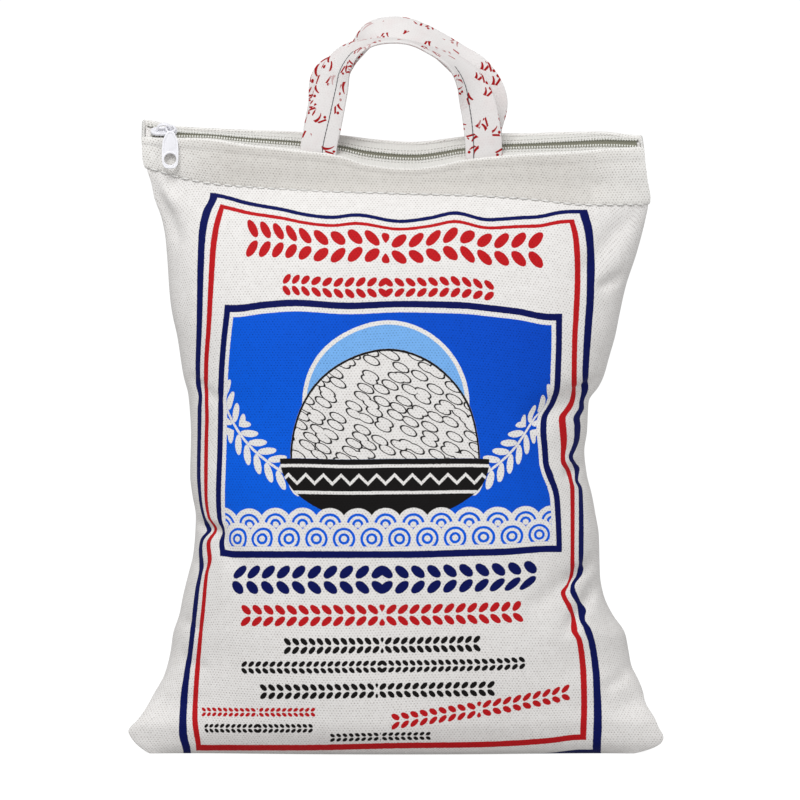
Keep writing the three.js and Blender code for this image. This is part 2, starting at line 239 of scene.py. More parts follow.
def weld(piece, distance=0.02):  # merges doubled vertices and turns the faces outwards
    only(piece)
    bpy.ops.object.mode_set(mode="EDIT")
    bpy.ops.mesh.select_all(action="SELECT")
    bpy.ops.mesh.remove_doubles(threshold=distance * mm)
    bpy.ops.mesh.normals_make_consistent(inside=False)
    bpy.ops.object.mode_set(mode="OBJECT")


def joinAll(name, pieces):
    deselectAll()
    for piece in pieces:
        piece.select_set(True)
    bpy.context.view_layer.objects.active = pieces[0]
    if len(pieces) > 1:
        bpy.ops.object.join()
    pieces[0].name = pieces[0].data.name = name
    return pieces[0]


def applyModifier(piece, kind, **settings):
    only(piece)
    modifier = piece.modifiers.new(kind.title(), kind)
    for key, value in settings.items():
        setattr(modifier, key, value)
    bpy.ops.object.modifier_apply(modifier=modifier.name)


def settle(piece):  # puts the object at the origin with its place in its mesh
    only(piece)
    bpy.ops.object.transform_apply(location=True, rotation=True, scale=True)


def dress(piece, material, slotName, *nodes, smoothAngle=180.0):
    only(piece)
    bpy.ops.object.shade_smooth_by_angle(angle=math.radians(smoothAngle))
    piece.data.materials.clear()
    piece.data.materials.append(material)
    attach(piece, "root")
    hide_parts(*nodes)


# node helpers

def wire(tree, source, socket):
    if isinstance(source, (int, float, tuple)):
        socket.default_value = source
    else:
        tree.links.new(source, socket)


def addNode(tree, kind, values, **settings):  # values fill the inputs, by name or by number
    node = tree.nodes.new("ShaderNode" + kind)
    for key, setting in settings.items():
        setattr(node, key, setting)
    for socket, value in values.items():
        wire(tree, value, node.inputs[socket])
    return node


def calc(tree, operation, *values):
    return addNode(tree, "Math", dict(enumerate(values)), operation=operation).outputs[0]


def plus(tree, first, second):
    return calc(tree, "ADD", first, second)


def minus(tree, first, second):
    return calc(tree, "SUBTRACT", first, second)


def times(tree, first, second):
    return calc(tree, "MULTIPLY", first, second)


def absolute(tree, value):
    return calc(tree, "ABSOLUTE", value)


def lengthOf(tree, x, y):
    return calc(tree, "SQRT", calc(tree, "MULTIPLY_ADD", x, x, times(tree, y, y)))


def vector(tree, operation, *values):
    return addNode(tree, "VectorMath", dict(enumerate(values)), operation=operation).outputs


def xyz(tree, place):
    return addNode(tree, "SeparateXYZ", {0: place}).outputs


def rotated(tree, place, angle):
    values = {"Vector": place, "Angle": angle}
    return addNode(tree, "VectorRotate", values, rotation_type="Z_AXIS").outputs[0]


def noise(tree, place, scale, detail=2.0):
    return addNode(tree, "TexNoise", {"Vector": place, "Scale": scale, "Detail": detail}).outputs["Fac"]


def soften(tree, distance, edge):  # 0 outside, 1 inside, over a soft edge
    values = {"Value": distance, "From Min": -0.5 * edge, "From Max": 0.5 * edge}
    return addNode(tree, "MapRange", values, interpolation_type="SMOOTHSTEP").outputs["Result"]


def spread(tree, value, low, high, newLow, newHigh):  # carries a value from one range to another
    values = {"Value": value, "From Min": low, "From Max": high, "To Min": newLow, "To Max": newHigh}
    return addNode(tree, "MapRange", values).outputs["Result"]


def blendColour(tree, share, first, second, kind="MIX"):
    return addNode(tree, "Mix", {0: share, 6: first, 7: second}, data_type="RGBA", blend_type=kind).outputs[2]


def uvPlace(tree, layerName):
    return addNode(tree, "UVMap", {}, uv_map=layerName).outputs["UV"]


def objectPlace(tree):
    return addNode(tree, "TexCoord", {}).outputs["Object"]


def raised(tree, shader, height, distance, strength=1.0):  # a bump on the shader's normal
    bump = addNode(tree, "Bump", {"Strength": strength, "Distance": distance * mm, "Height": height})
    wire(tree, bump.outputs["Normal"], shader.inputs["Normal"])


def newGroup(name, inputs, outputs):
    tree = bpy.data.node_groups.new(name, "ShaderNodeTree")
    for label, kind, value in inputs:
        socket = tree.interface.new_socket(name=label, in_out="INPUT", socket_type=kind)
        if value is not None:
            socket.default_value = value
    for label, kind in outputs:
        tree.interface.new_socket(name=label, in_out="OUTPUT", socket_type=kind)
    return tree, tree.nodes.new("NodeGroupInput").outputs, tree.nodes.new("NodeGroupOutput").inputs


def useGroup(tree, group, **values):
    return addNode(tree, "Group", values, node_tree=group).outputs


def newMaterial(name):
    material = bpy.data.materials.new(name)
    material.use_nodes = True
    return material, material.node_tree, material.node_tree.nodes["Principled BSDF"]


def srgb(red, green, blue):  # a colour from 0 to 255 as the linear values that a socket takes
    def linear(level):
        level /= 255
        return level / 12.92 if level <= 0.04045 else ((level + 0.055) / 1.055) ** 2.4
    return (linear(red), linear(green), linear(blue), 1.0)


def darkened(colour, share):
    return tuple(share * level for level in colour[:3]) + (1.0,)


# the cloth's face, in millimetres: two crossed grids of embossed dots over fine threads
clothLook = {
    "pitch": (1.8, 2.9, 0),
    "dotRadius": 0.36,
    "dotEdge": 0.34,
    "patchScale": 0.4,
    "threadScale": 2.6,
    "mottleScale": 0.16,
    "dotColour": srgb(126, 108, 98),
    "stain": srgb(176, 168, 160),
    "roughness": 0.82,
    "inkRoughness": 0.62,
}


def makeClothFace():  # dots, threads and slow mottling of the cloth, from a place in millimetres
    tree, given, result = newGroup(
        "clothFace", [("Place", "NodeSocketVector", None)],
        [("Dots", "NodeSocketFloat"), ("Threads", "NodeSocketFloat"), ("Mottle", "NodeSocketFloat")],
    )
    place, pitch = given["Place"], clothLook["pitch"]
    nearest = None
    for shift in (0.0, 0.5):
        scaled = vector(tree, "MULTIPLY_ADD", place, (1 / pitch[0], 1 / pitch[1], 0), (shift, shift, 0))
        cell = vector(tree, "FRACTION", scaled[0])
        centred = vector(tree, "MULTIPLY_ADD", cell[0], pitch, (-0.5 * pitch[0], -0.5 * pitch[1], 0))
        distance = vector(tree, "LENGTH", centred[0])["Value"]
        nearest = distance if nearest is None else calc(tree, "MINIMUM", nearest, distance)
    pressed = spread(tree, noise(tree, place, clothLook["patchScale"]), 0.35, 0.62, 0.3, 1.0)
    dots = soften(tree, minus(tree, clothLook["dotRadius"], nearest), clothLook["dotEdge"])
    wire(tree, times(tree, dots, pressed), result["Dots"])
    wire(tree, noise(tree, place, clothLook["threadScale"]), result["Threads"])
    wire(tree, noise(tree, place, clothLook["mottleScale"], 3.0), result["Mottle"])
    return tree


# a grain of an ornament row: lengths as shares of the row's pitch, heights as shares of its half height
grainLook = {"halfLong": 0.37, "middle": 0.54, "halfHigh": 0.46, "steepness": 0.4, "edge": 0.3}


def makeGrainRow():  # slanted grains on both sides of a line, like an ear of rice laid flat
    tree, given, result = newGroup(
        "grainRow",
        [(label, "NodeSocketFloat", value) for label, value in (
            ("Along", 0.0), ("Off", 0.0), ("Half", 50.0), ("Height", 10.0), ("Pitch", 5.0), ("Slant", 0.5))],
        [("Mask", "NodeSocketFloat")],
    )
    away = absolute(tree, given["Off"])
    halfHigh = times(tree, given["Height"], 0.5)
    skewed = minus(tree, absolute(tree, given["Along"]), times(tree, away, given["Slant"]))
    cell = calc(tree, "FRACT", calc(tree, "DIVIDE", skewed, given["Pitch"]))
    alongGrain = calc(tree, "DIVIDE", minus(tree, cell, 0.5), grainLook["halfLong"])
    offMiddle = minus(tree, calc(tree, "DIVIDE", away, halfHigh), grainLook["middle"])
    offGrain = calc(tree, "DIVIDE", offMiddle, grainLook["halfHigh"])
    inside = minus(tree, 1.0, lengthOf(tree, alongGrain, offGrain))
    grain = times(tree, inside, times(tree, halfHigh, grainLook["steepness"]))
    ends = minus(tree, given["Half"], absolute(tree, skewed))
    wire(tree, soften(tree, calc(tree, "MINIMUM", grain, ends), grainLook["edge"]), result["Mask"])
    return tree


ink = {
    "navy": srgb(2, 14, 86),
    "red": srgb(190, 22, 28),
    "blue": srgb(0, 94, 226),
    "deepBlue": srgb(0, 66, 190),
    "paleBlue": srgb(120, 178, 240),
    "black": srgb(20, 18, 18),
    "cloth": srgb(*bag["colour"]),
}

# the print, in millimetres on the cloth: half widths from the middle and heights from the base
printPlan = {
    "edge": 0.35,
    "wobble": {"scale": 0.5, "detail": 3.0, "reach": 0.4},
    "navyFrame": {"half": 117.4, "low": -5.0, "high": 303.4, "line": 4.2, "topLine": 2.0},
    "redFrame": {"half": 110.2, "low": 4.6, "high": 298.8, "line": 3.2, "topLine": 1.7},
    "panelFrame": {"half": 99.8, "low": 112.2, "high": 256.8, "line": 3.9, "topLine": 3.7},
    "panelGap": 2.6,
    "sun": {"high": 199.0, "radius": 47.0, "ring": 2.4},
    "bowl": {"rim": 168.0, "half": 60.0, "deep": 36.0, "foot": 22.0, "footHigh": 5.0, "footSunk": 3.0},
    "bowlBand": {"drop": 14.0, "swing": 5.0, "half": 1.1, "rules": (4.0, 19.0), "ruleHalf": 0.9},
    "heap": {"half": 54.0, "high": 62.0, "line": 1.3},
    "heapGrain": {"turn": 0.5, "scale": (0.085, 0.2, 0), "random": 0.8, "ring": 0.42, "half": 0.34,
                  "fall": 7.0},
    "ear": {"x": 12.0, "z": 240.0, "radius": 92.0, "middle": 0.95, "half": 52.0, "high": 17.0, "pitch": 8.0,
            "slant": 0.9, "stemHalf": 0.7, "stemReach": 70.0},
    "waves": {"high": 139.0, "step": 8.0, "pitch": 15.6, "radius": 9.4, "rings": (0.32, 0.66), "line": 1.5},
}

# ornament rows: middle, height, half length, row height, pitch, slant, tilt and ink
ornamentRows = [
    (0.0, 286.5, 86.0, 17.0, 9.6, 0.6, 0.0, "red"),
    (0.0, 264.5, 63.0, 11.0, 6.3, -0.6, 0.0, "red"),
    (-2.0, 100.0, 90.0, 16.0, 9.0, -0.55, 0.0, "navy"),
    (-2.0, 80.0, 78.0, 12.0, 6.5, 0.6, 0.0, "red"),
    (-2.0, 63.0, 54.0, 9.0, 4.5, 0.5, 0.0, "black"),
    (-2.0, 51.0, 80.0, 7.0, 4.0, -0.5, 0.0, "black"),
    (-5.0, 37.5, 64.0, 8.4, 4.6, 0.5, 0.0, "black"),
    (52.0, 26.0, 48.0, 9.0, 5.3, 0.6, 0.13, "red"),
    (-72.0, 26.0, 32.0, 5.0, 3.2, 0.5, 0.0, "red"),
    (-72.0, 17.0, 32.0, 5.0, 3.2, -0.5, 0.0, "black"),
    (-3.0, 11.5, 28.0, 4.6, 3.5, 0.5, 0.0, "black"),
]


def makePrint():  # frames, ornament rows and a picture of a heaped bowl, from a place in millimetres
    tree, given, result = newGroup(
        "bagPrint", [("Place", "NodeSocketVector", None), ("Cloth", "NodeSocketColor", ink["cloth"])],
        [("Colour", "NodeSocketColor"), ("Ink", "NodeSocketFloat")],
    )
    plan = printPlan["wobble"]
    values = {"Vector": given["Place"], "Scale": plan["scale"], "Detail": plan["detail"]}
    wobble = addNode(tree, "TexNoise", values).outputs["Color"]
    shifted = vector(tree, "MULTIPLY_ADD", wobble, (plan["reach"], plan["reach"], 0), given["Place"])[0]
    split = xyz(tree, shifted)
    across = minus(tree, split[0], 0.5 * plan["reach"])
    up = minus(tree, split[1], 0.5 * plan["reach"])
    reach = absolute(tree, across)
    painted = {"colour": given["Cloth"], "ink": 0.0}
    edge = printPlan["edge"]

    def inside(distance):
        return soften(tree, distance, edge)

    def both(*masks):
        total = masks[0]
        for mask in masks[1:]:
            total = times(tree, total, mask)
        return total

    def without(mask):
        return minus(tree, 1.0, mask)

    def paint(mask, name):
        colour = given["Cloth"] if name == "cloth" else ink[name]
        painted["colour"] = blendColour(tree, mask, painted["colour"], colour)
        change = minus(tree, 0.0 if name == "cloth" else 1.0, painted["ink"])
        painted["ink"] = calc(tree, "MULTIPLY_ADD", change, mask, painted["ink"])

    def box(half, low, high):  # distance inside a box
        level = absolute(tree, minus(tree, up, 0.5 * (low + high)))
        return calc(tree, "MINIMUM", minus(tree, half, reach), minus(tree, 0.5 * (high - low), level))

    def oval(middleZ, radiusX, radiusZ, x=across):  # distance inside an oval, measured on its height
        sideways = calc(tree, "DIVIDE", x, radiusX)
        level = calc(tree, "DIVIDE", minus(tree, up, middleZ), radiusZ)
        return times(tree, minus(tree, 1.0, lengthOf(tree, sideways, level)), radiusZ)

    def line(distance, width):
        return both(inside(distance), without(inside(minus(tree, distance, width))))

    def stripe(offLine, half):
        return inside(minus(tree, half, absolute(tree, offLine)))

    for name, colour in (("navyFrame", "navy"), ("redFrame", "red"), ("panelFrame", "navy")):
        plan = printPlan[name]
        outer = box(plan["half"], plan["low"], plan["high"])
        inner = box(plan["half"] - plan["line"], plan["low"] + plan["line"], plan["high"] - plan["topLine"])
        paint(both(inside(outer), without(inside(inner))), colour)

    plan = printPlan["panelFrame"]
    step = plan["line"] + printPlan["panelGap"]
    field = inside(box(plan["half"] - step, plan["low"] + step, plan["high"] - step))
    paint(field, "blue")
    paint(both(field, spread(tree, plus(tree, across, up), 100.0, 320.0, 0.0, 0.8)), "deepBlue")

    plan = printPlan["sun"]
    disc = oval(plan["high"], plan["radius"], plan["radius"])
    paint(both(field, inside(disc)), "paleBlue")
    paint(both(field, line(disc, plan["ring"])), "cloth")

    plan = printPlan["ear"]  # two ears of rice that bend out from under the bowl
    mirrored = minus(tree, reach, plan["x"])
    downwards = minus(tree, plan["z"], up)
    turn = calc(tree, "ARCTAN2", mirrored, downwards)
    alongEar = times(tree, minus(tree, turn, plan["middle"]), plan["radius"])
    offEar = minus(tree, lengthOf(tree, mirrored, downwards), plan["radius"])
    sizes = {"Half": plan["half"], "Height": plan["high"], "Pitch": plan["pitch"], "Slant": plan["slant"]}
    ear = useGroup(tree, grainRow, Along=alongEar, Off=offEar, **sizes)["Mask"]
    stem = both(stripe(offEar, plan["stemHalf"]), stripe(alongEar, plan["stemReach"]))
    paint(both(field, calc(tree, "MAXIMUM", ear, stem)), "cloth")

    plan, heapPlan, grainPlan = printPlan["bowl"], printPlan["heap"], printPlan["heapGrain"]
    overRim = inside(minus(tree, up, plan["rim"]))
    dome = oval(plan["rim"], heapPlan["half"], heapPlan["high"])
    heap = both(overRim, inside(dome))
    paint(heap, "cloth")
    squeezed = vector(tree, "MULTIPLY", rotated(tree, shifted, grainPlan["turn"]), grainPlan["scale"])[0]
    values = {"Vector": squeezed, "Scale": 1.0, "Randomness": grainPlan["random"]}
    grains = addNode(tree, "TexVoronoi", values, voronoi_dimensions="2D")
    offRing = absolute(tree, minus(tree, grains.outputs["Distance"], grainPlan["ring"]))
    outline = inside(minus(tree, grainPlan["half"], times(tree, offRing, grainPlan["fall"])))
    paint(both(heap, outline), "black")
    paint(both(overRim, line(dome, heapPlan["line"])), "black")

    bowl = both(without(overRim), inside(oval(plan["rim"], plan["half"], plan["deep"])))
    foot = plan["rim"] - plan["deep"]
    footMask = inside(box(plan["foot"], foot - plan["footHigh"], foot + plan["footSunk"]))
    bowl = calc(tree, "MAXIMUM", bowl, footMask)
    paint(bowl, "black")
    bandPlan = printPlan["bowlBand"]
    zigzag = calc(tree, "PINGPONG", across, bandPlan["swing"])
    offBand = minus(tree, minus(tree, up, plan["rim"] - bandPlan["drop"]), zigzag)
    paint(both(bowl, stripe(offBand, bandPlan["half"])), "cloth")
    for drop in bandPlan["rules"]:
        paint(both(bowl, stripe(minus(tree, up, plan["rim"] - drop), bandPlan["ruleHalf"])), "cloth")

    plan = printPlan["waves"]  # overlapping scallops along the foot of the picture
    for row in (0, 1):
        moved = plus(tree, across, 0.5 * row * plan["pitch"])
        sideways = calc(tree, "PINGPONG", moved, 0.5 * plan["pitch"])
        scallop = oval(plan["high"] - plan["step"] * (row + 1), plan["radius"], plan["radius"], x=sideways)
        paint(both(field, inside(scallop)), "cloth")
        for share in plan["rings"]:
            paint(both(field, line(minus(tree, scallop, share * plan["radius"]), plan["line"])), "blue")

    for middle, high, half, tall, pitch, slant, tilt, name in ornamentRows:
        sideways = minus(tree, across, middle)
        level = minus(tree, minus(tree, up, high), times(tree, sideways, tilt))
        sizes = {"Half": half, "Height": tall, "Pitch": pitch, "Slant": slant}
        row = useGroup(tree, grainRow, Along=sideways, Off=level, **sizes)
        paint(row["Mask"], name)
    wire(tree, painted["colour"], result["Colour"])
    wire(tree, painted["ink"], result["Ink"])
    return tree


def clothMaterial(name, colour, dotDepth=0.2, dotShade=0.42, printed=False, highlightColour=None):
    material, tree, shader = newMaterial(name)
    face = useGroup(tree, clothFace, Place=uvPlace(tree, "weave"))
    base = colour
    shader.inputs["Roughness"].default_value = clothLook["roughness"]
    if printed:
        picture = useGroup(tree, bagPrint, Place=uvPlace(tree, "print"), Cloth=colour)
        base = picture["Colour"]
        rough = spread(tree, picture["Ink"], 0.0, 1.0, clothLook["roughness"], clothLook["inkRoughness"])
        wire(tree, rough, shader.inputs["Roughness"])
    if highlightColour:  # painted highlight: the fold at the lip is painted paler as if lit from above, and both ends of the hem are painted paler to make up for the light they lose where the band turns away
        lipHighlight = spread(tree, xyz(tree, uvPlace(tree, "band"))[1], 0.92, 0.985, 0.0, 1.0)
        sideways = absolute(tree, xyz(tree, objectPlace(tree))[0])
        endsPaintedLight = spread(tree, sideways, 95.0 * mm, 138.0 * mm, 0.0, 0.75)
        base = blendColour(tree, calc(tree, "MAXIMUM", lipHighlight, endsPaintedLight), colour, highlightColour)
    patches = spread(tree, face["Mottle"], 0.35, 0.65, 0.0, 0.07)
    mottled = blendColour(tree, patches, base, clothLook["stain"], "MULTIPLY")
    dots = times(tree, face["Dots"], dotShade)
    dotted = blendColour(tree, dots, mottled, clothLook["dotColour"], "MULTIPLY")
    wire(tree, dotted, shader.inputs["Base Color"])
    shader.inputs["Specular IOR Level"].default_value = 0.1
    height = calc(tree, "MULTIPLY_ADD", face["Dots"], -1.0, times(tree, face["Threads"], 0.5))
    raised(tree, shader, height, dotDepth, 0.8)
    return material


def threadMaterial(name, colour):
    material, tree, shader = newMaterial(name)
    twist = noise(tree, objectPlace(tree), 900.0)
    wire(tree, blendColour(tree, twist, darkened(colour, 0.7), colour), shader.inputs["Base Color"])
    shader.inputs["Roughness"].default_value = 0.6
    return material


def plasticMaterial(name, colour):
    material, tree, shader = newMaterial(name)
    marks = noise(tree, objectPlace(tree), 260.0, 4.0)
    worn = spread(tree, marks, 0.5, 0.75, 0.0, 1.0)
    wire(tree, blendColour(tree, worn, colour, darkened(colour, 0.9)), shader.inputs["Base Color"])
    wire(tree, spread(tree, marks, 0.3, 0.7, 0.24, 0.4), shader.inputs["Roughness"])
    raised(tree, shader, marks, 0.03, 0.5)
    return material


# the zip tape's weave, in millimetres: ribs along it and rows of woven holes beside the chain
tapeLook = {
    "rib": 1.1,
    "cross": 0.95,
    "holeRows": (0.8, 3.4),
    "holeHalf": 0.45,
    "holeGap": 0.42,
    "edge": 0.25,
    "colour": srgb(236, 235, 231),
    "shade": srgb(128, 126, 112),
}


def tapeMaterial():
    material, tree, shader = newMaterial("zipTapeWeave")
    run, off = xyz(tree, uvPlace(tree, "weave"))[:2]
    rib = calc(tree, "SINE", times(tree, off, 2 * math.pi / tapeLook["rib"]))
    cross = calc(tree, "SINE", times(tree, run, 2 * math.pi / tapeLook["cross"]))
    weave = times(tree, plus(tree, rib, cross), 0.25)
    dash = minus(tree, calc(tree, "PINGPONG", run, tapeLook["cross"]), tapeLook["holeGap"])
    holes = 0.0
    for level in tapeLook["holeRows"]:
        inRow = minus(tree, tapeLook["holeHalf"], absolute(tree, minus(tree, off, level)))
        hole = times(tree, soften(tree, inRow, tapeLook["edge"]), soften(tree, dash, tapeLook["edge"]))
        holes = calc(tree, "MAXIMUM", holes, hole)
    shade = plus(tree, times(tree, holes, 0.45), spread(tree, weave, -0.5, 0.5, 0.22, 0.0))
    wire(tree, blendColour(tree, shade, tapeLook["colour"], tapeLook["shade"]), shader.inputs["Base Color"])
    shader.inputs["Roughness"].default_value = 0.8
    raised(tree, shader, minus(tree, weave, holes), 0.3)
    return material


# marks on the handles, in millimetres: a bent bar, a short leaning bar and a spot in each chosen cell
markLook = {
    "pitch": 8.0,
    "random": 0.9,
    "bend": 0.1,
    "tip": 0.2,
    "foot": 1.1,
    "long": 3.7,
    "shortHalf": 0.68,
    "shortLong": 2.2,
    "shortAt": 2.5,
    "shortLean": 0.6,
    "spotAt": (2.3, -2.7),
    "spotRadius": 0.85,
    "edge": 0.3,
    "fewUpTo": (2.0, 0.72),  # distance from the middle, and the share of cells left plain
    "manyFrom": (6.5, 0.14),
    "ink": srgb(160, 16, 20),
}


def handleMarks(tree, place):  # 1 on the strokes, more of them near the band's edges than in its middle
    values = {"Vector": place, "Scale": 1 / markLook["pitch"], "Randomness": markLook["random"]}
    cells = addNode(tree, "TexVoronoi", values, voronoi_dimensions="2D").outputs
    chance = xyz(tree, cells["Color"])
    fromCell = vector(tree, "SUBTRACT", place, cells["Position"])[0]
    x, y = xyz(tree, rotated(tree, fromCell, times(tree, chance[0], 2 * math.pi)))[:2]
    long = markLook["long"]
    bent = calc(tree, "MULTIPLY_ADD", times(tree, y, y), markLook["bend"], x)
    brush = spread(tree, y, -long, long, markLook["tip"], markLook["foot"])
    longLeft = minus(tree, calc(tree, "MULTIPLY_ADD", chance[2], long * 0.5, long * 0.5), absolute(tree, y))
    bar = calc(tree, "MINIMUM", minus(tree, brush, absolute(tree, bent)), longLeft)
    leaning = calc(tree, "MULTIPLY_ADD", y, markLook["shortLean"], minus(tree, x, markLook["shortAt"]))
    shortLeft = minus(tree, markLook["shortLong"], absolute(tree, y))
    shortBar = calc(tree, "MINIMUM", minus(tree, markLook["shortHalf"], absolute(tree, leaning)), shortLeft)
    spotAway = [minus(tree, axis, at) for axis, at in zip((x, y), markLook["spotAt"])]
    spot = minus(tree, markLook["spotRadius"], lengthOf(tree, *spotAway))
    stroke = calc(tree, "MAXIMUM", calc(tree, "MAXIMUM", bar, shortBar), spot)
    shift = handle["backShift"]
    bothFaces = calc(tree, "PINGPONG", plus(tree, xyz(tree, place)[0], shift / 2), shift)
    fromMiddle = absolute(tree, minus(tree, bothFaces, shift / 2))
    (near, plainNear), (far, plainFar) = markLook["fewUpTo"], markLook["manyFrom"]
    plain = spread(tree, fromMiddle, near, far, plainNear, plainFar)
    chosen = soften(tree, minus(tree, chance[1], plain), 0.1)
    return times(tree, soften(tree, stroke, markLook["edge"]), chosen)


def handleMaterial():  # cloth with cut-off red strokes and pinkish rub marks
    material, tree, shader = newMaterial("handleCloth")
    place = uvPlace(tree, "weave")
    face = useGroup(tree, clothFace, Place=place)
    pinkish = spread(tree, noise(tree, place, 0.085), 0.5, 0.75, 0.0, 0.22)
    base = blendColour(tree, pinkish, srgb(226, 223, 222), srgb(216, 194, 194))
    dotted = blendColour(tree, times(tree, face["Dots"], 0.08), base, srgb(130, 115, 110))
    marked = blendColour(tree, handleMarks(tree, place), dotted, markLook["ink"])
    wire(tree, marked, shader.inputs["Base Color"])
    shader.inputs["Roughness"].default_value = 0.85
    shader.inputs["Specular IOR Level"].default_value = 0.15
    raised(tree, shader, calc(tree, "MULTIPLY_ADD", face["Dots"], -0.5, face["Threads"]), 0.12)
    return material


clothFace = makeClothFace()
grainRow = makeGrainRow()
bagPrint = makePrint()
print("patterns ready")

# the bag's body: a front and a back panel, sewn together at the sides and along the bottom

# where the printed lines run on the standing bag: pairs of height and x, then of x and height
linesUp = {
    "navyLeft": [
        (2, -117.9), (13, -120.6), (31, -120), (47, -118.2), (58, -116.4), (74, -114.5), (95, -112.1),
        (107, -109.9), (116, -110.6), (124, -109), (126.6, -104.6), (131.5, -107.2), (144, -110.3),
        (160, -111.5), (182, -111.1), (196, -110.9), (203, -110.1), (209, -111.5), (218, -111.9),
        (239, -111.2), (277, -110.4), (295, -109.6), (307, -107.2), (316, -102.9),
    ],
    "redLeft": [
        (5, -110.9), (22, -113.3), (44, -112.3), (68, -110.3), (86, -108.4), (103, -107), (111, -104.7),
        (120.5, -105.7), (125.4, -102.9), (128.4, -101.4), (135, -105.7), (147, -107.2), (178, -107),
        (191, -106.6), (205, -107.2), (218, -107.2), (244, -105.6), (266, -104.5), (285, -103.4),
        (298, -101.3), (310, -97.5), (316, -95.5),
    ],
    "panelLeft": [
        (30, -104), (85, -101.5), (115, -98.1), (120.5, -98.7), (126.6, -97.2), (133, -99.9),
        (147, -100.5), (172, -99.6), (212, -98.8), (234, -97.3), (251, -95.3), (300, -91),
    ],
    "panelRight": [
        (30, 95), (60, 93), (85, 89), (92, 85.5), (100, 90), (117, 92), (145, 90.6), (151, 89.2),
        (158, 86.1), (165, 84.1), (173, 83.5), (183, 82.6), (191, 83.2), (198, 87.2), (209, 90.8),
        (218, 91.3), (234, 91.9), (300, 92),
    ],
    "redRight": [
        (10, 104.8), (29, 105.5), (46, 105.2), (66, 102.9), (71, 99.5), (77, 100), (84, 97.1),
        (93, 93.3), (96, 96.5), (99, 98.6), (109, 98.9), (152, 99.1), (159, 97.7), (166, 93.8),
        (176, 94), (183, 93.4), (191, 92.6), (196, 96.4), (202, 99.6), (234, 100), (252, 101),
        (271, 101.8), (291, 100.7), (302, 97.7), (308, 96),
    ],
    "navyRight": [
        (5, 113.2), (18, 113.8), (41, 113.2), (58, 111.5), (72, 108.1), (78, 104), (82, 105.2),
        (89, 101.7), (97, 98.3), (102.5, 102.9), (107, 104), (132, 104.2), (152, 103.8), (155, 101.1),
        (163, 102.3), (168.6, 97.9), (173, 100.1), (179, 102.3), (186, 102.8), (191, 102.1), (196, 105),
        (200, 104.4), (206, 106.6), (218, 106.9), (239, 108.2), (261, 109.7), (281, 109.9), (296, 108.8),
        (306, 106.1), (310, 105),
    ],
}
linesAcross = {
    "redBottom": [
        (-91, 5), (-57, 5), (2, 6.2), (44, 6.7), (61, 7.3), (86, 9), (103, 11),
    ],
    "panelBottom": [
        (-99, 114.9), (-91, 113.8), (2, 113.7), (44, 114.8), (61, 115.3), (86, 117),
    ],
    "panelTop": [
        (-91, 252.3), (-74, 254.5), (-57, 255.7), (-27, 254), (2, 255.1), (36, 254.3), (53, 252.6),
        (69, 250.6), (86, 247.5),
    ],
    "frameTop": [
        (-104, 316.3), (-99, 315.5), (-82, 311), (-65, 308), (-49, 304.5), (-36, 303.3), (-23, 304.8),
        (2, 301), (19, 303), (33, 306), (51, 302), (70, 303.2), (80, 303.7), (91, 306.1), (98, 306.7),
    ],
}
pictureSides = [-51.0, 39.0]
marksAcross = [-115.5, -108.7, -98.2, -45.0, 45.0, 98.2, 108.7, 115.5]
marksUp = [6.0, 114.0, 255.3, 302.2]


def throughLines(value, lines, marks):  # carries values so that each line lands on its mark
    result = value - lines[0] + marks[0]
    for k in range(len(lines) - 1):
        share = (value - lines[k]) / np.maximum(lines[k + 1] - lines[k], 1e-3)
        result = np.where(value > lines[k], marks[k] + share * (marks[k + 1] - marks[k]), result)
    return np.where(value > lines[-1], value - lines[-1] + marks[-1], result)


def seenFromCamera(points):  # x and height as they appear at the middle plane of the bag
    tilt = math.radians(view["elevation"])
    rise = points[..., 2] - view["aimZ"]
    depth = view["distance"] + points[..., 1] * math.cos(tilt) - rise * math.sin(tilt)
    scale = view["distance"] / depth * view["lens"] / view["measureLens"]
    x = (points[..., 0] - view["aimX"]) * scale + view["aimX"]
    z = (rise * math.cos(tilt) + points[..., 1] * math.sin(tilt)) * scale + view["measureHigh"]
    return x, z


def panelRows():  # each row of a panel: its kind and value, from the bottom seam to the mouth
    rows = [("under", math.sin(k / bag["underRows"] * math.pi / 2)) for k in range(bag["underRows"])]
    level = np.linspace(0, 1, bag["mainRows"] + 1)
    heights = bag["stitchLevel"] * (0.82 * level + 0.18 * level ** 2)
    rows += [("main", height) for height in heights]
    rows += [("neck", share) for share in bag["neckShares"]]
    rows += [("top", 1 - k / bag["topRows"]) for k in range(bag["topRows"] + 1)]
    return rows


